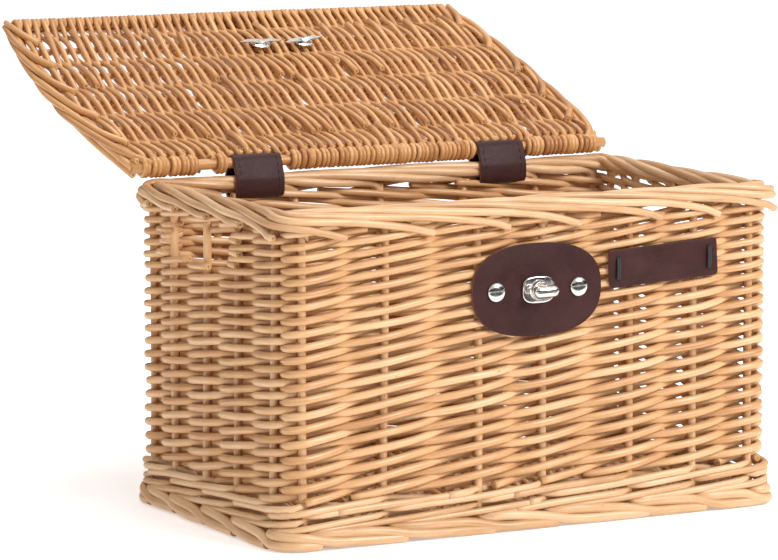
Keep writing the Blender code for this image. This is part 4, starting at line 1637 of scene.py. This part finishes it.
@dataclass
class SplitFastener:
    """Domed head outside, washer and two splayed pointed legs inside."""

    head: float = 0.0071
    crown: float = 0.0034
    leg: float = 0.0185
    leg_width: float = 0.0046
    leg_thick: float = 0.0009
    washer: float = 0.0078
    shank: float = 0.0017

    def build(self, name: str, body: Body, outer: Vector, inner: Vector, across: Vector, finishes: Finishes,
              nodes: tuple[str, ...]) -> None:
        """Make a fastener between its head's seat and its washer's seat.

        Args:
            name: Name of the piece.
            body: Body that it rides on.
            outer: Where the head sits.
            inner: Where the washer sits.
            across: Way the legs spread.
            finishes: Materials.
            nodes: Nodes that it stands for.
        """
        bm = bmesh.new()
        outward = (outer - inner).normalized()
        spin_profile(bm, dome_profile(self.head, self.crown, 0.0007), 32, facing(outer, outward, across))
        length = (outer - inner).length + 0.0015
        stem = [(0.0, 0.0002), (self.shank, 0.0002), (self.shank, -length), (0.0, -length)]
        spin_profile(bm, stem, 12, facing(outer, outward, across))
        edge, top = 0.0008, 0.0011
        ring = [(0.0, 0.0), (self.washer, 0.0), (self.washer, edge), (self.washer * 0.9, top), (0.0, top)]
        spin_profile(bm, ring, 28, facing(inner, -outward, across))
        for sign in (-1, 1):
            self.leg_blade(bm, inner - outward * 0.0015, -outward, across * sign)
        for face in bm.faces:
            face.smooth = True
        piece = place_piece(name, bm, [finishes.nickel], body, nodes)
        piece.data.set_sharp_from_angle(angle=math.radians(40))

    def leg_blade(self, bm: bmesh.types.BMesh, root: Vector, lift: Vector, across: Vector) -> None:
        """Bend one pointed leg out from the shank.

        Args:
            bm: Mesh that takes the leg.
            root: Where it leaves the shank.
            lift: Way out of the washer.
            across: Way the leg points.
        """
        place = facing(root, lift, across)
        cube = bmesh.ops.create_cube(bm, size=1.0)["verts"]
        long_edges = {edge for vert in cube for edge in vert.link_edges
                      if abs(edge.verts[0].co.x - edge.verts[1].co.x) > 0.5}
        bmesh.ops.subdivide_edges(bm, edges=list(long_edges), cuts=7)
        for vert in [vert for vert in bm.verts if not vert.tag]:
            share = vert.co.x + 0.5
            taper = 1.0 if share < 0.62 else max(0.06, (1.0 - share) / 0.38)
            hump = 0.0016 * math.sin(math.pi * min(1.0, share * 1.15)) + 0.0016 * share * share
            vert.co = Vector((share * self.leg, vert.co.y * self.leg_width * taper,
                              vert.co.z * self.leg_thick + hump - 0.0004))
            vert.co = place @ vert.co
            vert.tag = True


@dataclass
class TurnLock:
    """Lock on its leather patch: plate, raised collar and turning bar."""

    collar: float = 0.0066
    collar_height: float = 0.0030
    neck: float = 0.0034
    bar_length: float = 0.0200
    bar_width: float = 0.0086
    bar_thick: float = 0.0066

    def build(self, finishes: Finishes) -> None:
        """Make the patch, the plates, the bar and the two fasteners.

        Args:
            finishes: Materials.
        """
        out = Vector((0.0, -1.0, 0.0))
        LeatherPiece("lock_patch", "leather_patch", Body.BASKET, thick=out, rounding=0.0008).build(finishes)
        self.plate(finishes, out)
        self.turn_bar(finishes, out)
        backing = FRAME["nodes"]["lock_backing_plate"]
        backing.data.materials.clear()
        backing.data.materials.append(finishes.nickel)
        patch_low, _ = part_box("lock_patch")
        for side in ("left", "right"):
            shank = node_middle(f"lock_rivet_{side}")
            low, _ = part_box(f"lock_washer_{side}")
            outer = Vector((shank.x, patch_low.y, shank.z))
            inner = Vector((shank.x, low.y, shank.z))
            SplitFastener().build(f"lock_fastener_{side}", Body.BASKET, outer, inner, RIGHT, finishes,
                                  (f"lock_rivet_{side}", f"lock_washer_{side}"))

    def plate(self, finishes: Finishes, out: Vector) -> None:
        """Make the rounded base plate with its collar.

        Args:
            finishes: Materials.
            out: Way out of the front wall.
        """
        low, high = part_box("lock_base_plate")
        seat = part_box("lock_patch")[0].y
        middle = (low + high) / 2
        place = facing(Vector((middle.x, seat, middle.z)), out, RIGHT)
        bm = bmesh.new()
        steps, power = 40, 3.2
        half_x, half_z = (high.x - low.x) / 2, (high.z - low.z) / 2
        ring = []
        for step in range(steps):
            angle = math.tau * step / steps
            cosine, sine = math.cos(angle), math.sin(angle)
            ring.append(bm.verts.new((half_x * math.copysign(abs(cosine) ** (2 / power), cosine),
                                      half_z * math.copysign(abs(sine) ** (2 / power), sine), 0.0003)))
        face = bm.faces.new(ring)
        grown = bmesh.ops.extrude_face_region(bm, geom=[face])["geom"]
        bmesh.ops.translate(bm, verts=[item for item in grown if isinstance(item, bmesh.types.BMVert)],
                            vec=(0, 0, 0.0019))
        bmesh.ops.recalc_face_normals(bm, faces=bm.faces)
        round_edges(bm, 0.0009, 3, 50.0)
        bmesh.ops.transform(bm, matrix=place, verts=bm.verts)
        for vert in bm.verts:
            vert.tag = True
        base, top = 0.0018, 0.0022 + self.collar_height
        radius = self.collar
        ring_profile = [(radius + 0.0012, base), (radius + 0.0007, base + 0.0008), (radius, base + 0.0014),
                        (radius, top - 0.0005), (radius - 0.0004, top), (radius - 0.0012, top),
                        (radius - 0.0016, top - 0.0005), (radius - 0.0018, base), (radius + 0.0012, base)]
        spin_profile(bm, ring_profile, 32, place)
        for face in bm.faces:
            face.smooth = True
        piece = place_piece("lock_plate", bm, [finishes.nickel], Body.BASKET,
                            ("lock_base_plate",))
        piece.data.set_sharp_from_angle(angle=math.radians(50))

    def turn_bar(self, finishes: Finishes, out: Vector) -> None:
        """Make the turning bar on its neck.

        Args:
            finishes: Materials.
            out: Way out of the front wall.
        """
        low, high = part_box("lock_toggle")
        middle = (low + high) / 2
        bm = bmesh.new()
        place = facing(Vector((middle.x, low.y, middle.z)), out, RIGHT)
        bmesh.ops.create_uvsphere(bm, u_segments=28, v_segments=16, radius=self.bar_width / 2,
                                  matrix=Matrix.Rotation(math.pi / 2, 4, "Y"))
        stretch = (self.bar_length - self.bar_width) / 2
        right = [edge for edge in bm.edges if all(abs(vert.co.x) < 1e-6 for vert in edge.verts)]
        bmesh.ops.split_edges(bm, edges=right)
        for vert in bm.verts:
            side = sum(face.calc_center_median().x for face in vert.link_faces)
            vert.co.x += math.copysign(stretch, side)
            vert.co.z = vert.co.z * self.bar_thick / self.bar_width - self.bar_thick / 2
        rims = [edge for edge in bm.edges if len(edge.link_faces) == 1]
        bmesh.ops.bridge_loops(bm, edges=rims)
        bmesh.ops.recalc_face_normals(bm, faces=bm.faces)
        bmesh.ops.transform(bm, matrix=place, verts=bm.verts)
        for vert in bm.verts:
            vert.tag = True
        depth = high.y - low.y
        root = -self.bar_thick / 2
        neck = [(0.0, root), (self.neck, root), (self.neck, -depth), (0.0, -depth)]
        spin_profile(bm, neck, 24, place)
        for face in bm.faces:
            face.smooth = True
        piece = place_piece("lock_turn_bar", bm, [finishes.nickel], Body.TOGGLE,
                            ("lock_toggle",))
        piece.data.set_sharp_from_angle(angle=math.radians(50))


@dataclass
class LockTab:
    """Leather tab on the lid with its slot plate and two fasteners."""

    plane: LidPlane

    def build(self, finishes: Finishes) -> None:
        """Make the tab's two leathers, the slot plate and the fasteners.

        Args:
            finishes: Materials.
        """
        lift = self.plane.lift
        LeatherPiece("tab_root", "leather_tab_root", Body.LID, thick=lift, rounding=0.0006).build(finishes)
        flap = FRAME["nodes"]["tab_flap"]
        thick = self.flat_normal(flap)
        LeatherPiece("tab_flap", "leather_tab_flap", Body.TAB, thick=thick, rounding=0.0006).build(finishes)
        bm = merged_copy("tab_slot_plate")
        round_edges(bm, 0.0003, 2, 50.0)
        for face in bm.faces:
            face.smooth = True
        piece = place_piece("tab_slot_frame", bm, [finishes.nickel], Body.TAB,
                            ("tab_slot_plate",))
        piece.data.set_sharp_from_angle(angle=math.radians(40))
        root_low, _ = self.plane.node_box("tab_root")
        for side in ("left", "right"):
            low, high = self.plane.node_box(f"tab_rivet_{side}")
            wash_low, _ = self.plane.node_box(f"tab_washer_{side}")
            middle = (low + high) / 2
            outer = self.plane.at(middle.x, middle.y, root_low.z)
            inner = self.plane.at(middle.x, middle.y, wash_low.z)
            across = RIGHT if side == "left" else (RIGHT + self.plane.reach * 0.2).normalized()
            SplitFastener().build(f"tab_fastener_{side}", Body.LID, outer, inner, across, finishes,
                                  (f"tab_rivet_{side}", f"tab_washer_{side}"))

    @staticmethod
    def flat_normal(node: bpy.types.Object) -> Vector:
        """Normal of the largest flat face of a node."""
        best = max(node.data.polygons, key=lambda face: face.area)
        return best.normal.copy()


def build_label(finishes: Finishes) -> None:
    """Make the plain label and the black stitch at each of its ends.

    Args:
        finishes: Materials.
    """
    out = Vector((0.0, -1.0, 0.0))
    LeatherPiece("label", "leather_label", Body.BASKET, thick=out, rounding=0.0005).build(finishes)
    low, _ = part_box("label")
    for side in ("left", "right"):
        node = f"label_stitch_{side}"
        stitch_low, stitch_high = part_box(node)
        middle = (stitch_low + stitch_high) / 2
        radius = 0.0013
        face = low.y - radius * 0.7
        tilt = (stitch_high.x - stitch_low.x) / 2 - radius
        half = (stitch_high.z - stitch_low.z) / 2 - radius
        bundle = RodBundle(sides=10, seed=91)
        shape = ((-1.04, low.y + 0.003), (-1.02, face + 0.0006), (-0.6, face), (0.0, face - 0.0002),
                 (0.6, face), (1.02, face + 0.0006), (1.04, low.y + 0.003))
        for shift in (-0.6, 0.6):
            points = [Vector((middle.x + shift * radius - tilt * share, depth, middle.z + half * share))
                      for share, depth in shape]
            bundle.add(smooth_line(points, 5), radius * 0.8, radius * 0.8)
        bundle.finish(f"label_cord_{side}", Body.BASKET, finishes.black_thread,
                      finishes.black_thread, (node,))


# ---- Studio ----
@dataclass
class Studio:
    """Pale floor, soft lights and the camera."""

    lens: float = 199.0
    yaw: float = 28.31
    pitch: float = 7.61
    from_patch: tuple[float, float, float] = (-1.537, -2.631, 0.4135)
    floor_size: float = 60.0
    flag_size: tuple[float, float] = (3.0, 2.1)
    flag_place: tuple[float, float, float] = (0.8, -1.60, 0.02)

    def build(self) -> None:
        """Set the floor, the lights, the world and the camera."""
        self.floor()
        self.flag()
        self.world()
        self.lights()
        self.camera()

    def floor(self) -> None:
        """Lay the floor."""
        bm = bmesh.new()
        bmesh.ops.create_grid(bm, x_segments=1, y_segments=1, size=self.floor_size / 2)
        mesh = bpy.data.meshes.new("studio_floor")
        bm.to_mesh(mesh)
        bm.free()
        material, graph, shader = new_material("pale_floor")
        place = graph.add("ShaderNodeTexCoord").outputs["Object"]
        mottle = graph.noise(place, 3.0, 2.0)
        pale = graph.mix(mottle, (0.94, 0.94, 0.94, 1), (0.96, 0.96, 0.96, 1))
        graph.tree.links.new(pale, shader.inputs["Base Color"])
        shader.inputs["Roughness"].default_value = 0.9
        shader.inputs["Emission Color"].default_value = (1.0, 1.0, 1.0, 1.0)
        shader.inputs["Emission Strength"].default_value = 0.34
        mesh.materials.append(material)
        floor = bpy.data.objects.new("studio_floor", mesh)
        bpy.context.scene.collection.objects.link(floor)

    def flag(self) -> None:
        """Lay a dark card in front of the basket that only mirrors show, so that the metal has contrast."""
        bm = bmesh.new()
        place = Matrix.Translation(self.flag_place) @ Matrix.Diagonal((*self.flag_size, 1.0, 1.0))
        bmesh.ops.create_grid(bm, x_segments=1, y_segments=1, size=0.5, matrix=place)
        mesh = bpy.data.meshes.new("dark_card")
        bm.to_mesh(mesh)
        bm.free()
        material, _, shader = new_material("black_card")
        shader.inputs["Base Color"].default_value = (0.02, 0.02, 0.022, 1.0)
        shader.inputs["Roughness"].default_value = 1.0
        mesh.materials.append(material)
        card = bpy.data.objects.new("dark_card", mesh)
        card.visible_camera = card.visible_diffuse = card.visible_shadow = card.visible_transmission = False
        bpy.context.scene.collection.objects.link(card)

    def world(self) -> None:
        """Light the studio evenly, with darker sides for the metal to mirror."""
        world = bpy.data.worlds.new("studio")
        world.use_nodes = True
        bpy.context.scene.world = world
        graph = Graph(world.node_tree)
        way = graph.add("ShaderNodeSeparateXYZ", {0: graph.add("ShaderNodeTexCoord").outputs["Generated"]})
        dark = graph.maths("MULTIPLY", graph.span(way.outputs["Z"], 0.42, 0.30),
                           graph.add("ShaderNodeLightPath").outputs["Is Glossy Ray"])
        sky = graph.mix(dark, (1.0, 0.995, 0.99, 1.0), (0.03, 0.03, 0.035, 1.0))
        seen = graph.add("ShaderNodeLightPath").outputs["Is Camera Ray"]
        fill = graph.span(way.outputs["X"], -0.85, 0.35, 0.46, 0.88)
        strength = graph.maths("MAXIMUM", fill, graph.maths("MULTIPLY", seen, 1.02))
        background = graph.add("ShaderNodeBackground", {"Color": sky, "Strength": strength})
        graph.add("ShaderNodeOutputWorld", {"Surface": background.outputs[0]})

    def lights(self) -> None:
        """Hang a large key light, a side light and a top light."""
        target = Vector((0.0, 0.0, 0.16))
        for name, place, size, power in (
                ("key", (1.1, -2.3, 1.7), 1.0, 64.0), ("side", (-2.4, -0.5, 1.2), 1.6, 6.0),
                ("top", (0.2, 0.5, 2.6), 1.4, 26.0)):
            lamp = bpy.data.lights.new(name, "AREA")
            lamp.size = size
            lamp.energy = power
            holder = bpy.data.objects.new(name, lamp)
            holder.location = place
            holder.rotation_euler = (target - Vector(place)).to_track_quat("-Z", "Y").to_euler()
            bpy.context.scene.collection.objects.link(holder)

    def camera(self) -> None:
        """Aim the camera."""
        camera = bpy.data.cameras.new("camera")
        camera.lens = self.lens
        camera.clip_end = 100.0
        holder = bpy.data.objects.new("camera", camera)
        holder.location = node_middle("lock_patch") + Vector(self.from_patch)
        holder.rotation_euler = (math.radians(90.0 - self.pitch), 0.0, math.radians(-self.yaw))
        bpy.context.scene.collection.objects.link(holder)
        bpy.context.scene.camera = holder


def main() -> None:
    """Build every piece in order."""
    logging.basicConfig(level=logging.INFO, format="%(message)s")
    Studio().build()
    finishes = Finishes()
    track = WallTrack(corner=0.011)
    plane = LidPlane()
    Siding(track).build(finishes)
    Stakes(track).build(finishes)
    Waling(track).build(finishes)
    build_foot(track, finishes)
    build_rim(track, finishes)
    build_base(finishes)
    Lid(plane).build(finishes)
    for side in ("left", "right"):
        HingeStrap(side).build(finishes)
    TurnLock().build(finishes)
    LockTab(plane).build(finishes)
    build_label(finishes)
    bpy.context.scene.view_settings.view_transform = "Standard"


if __name__ == "__main__":
    main()
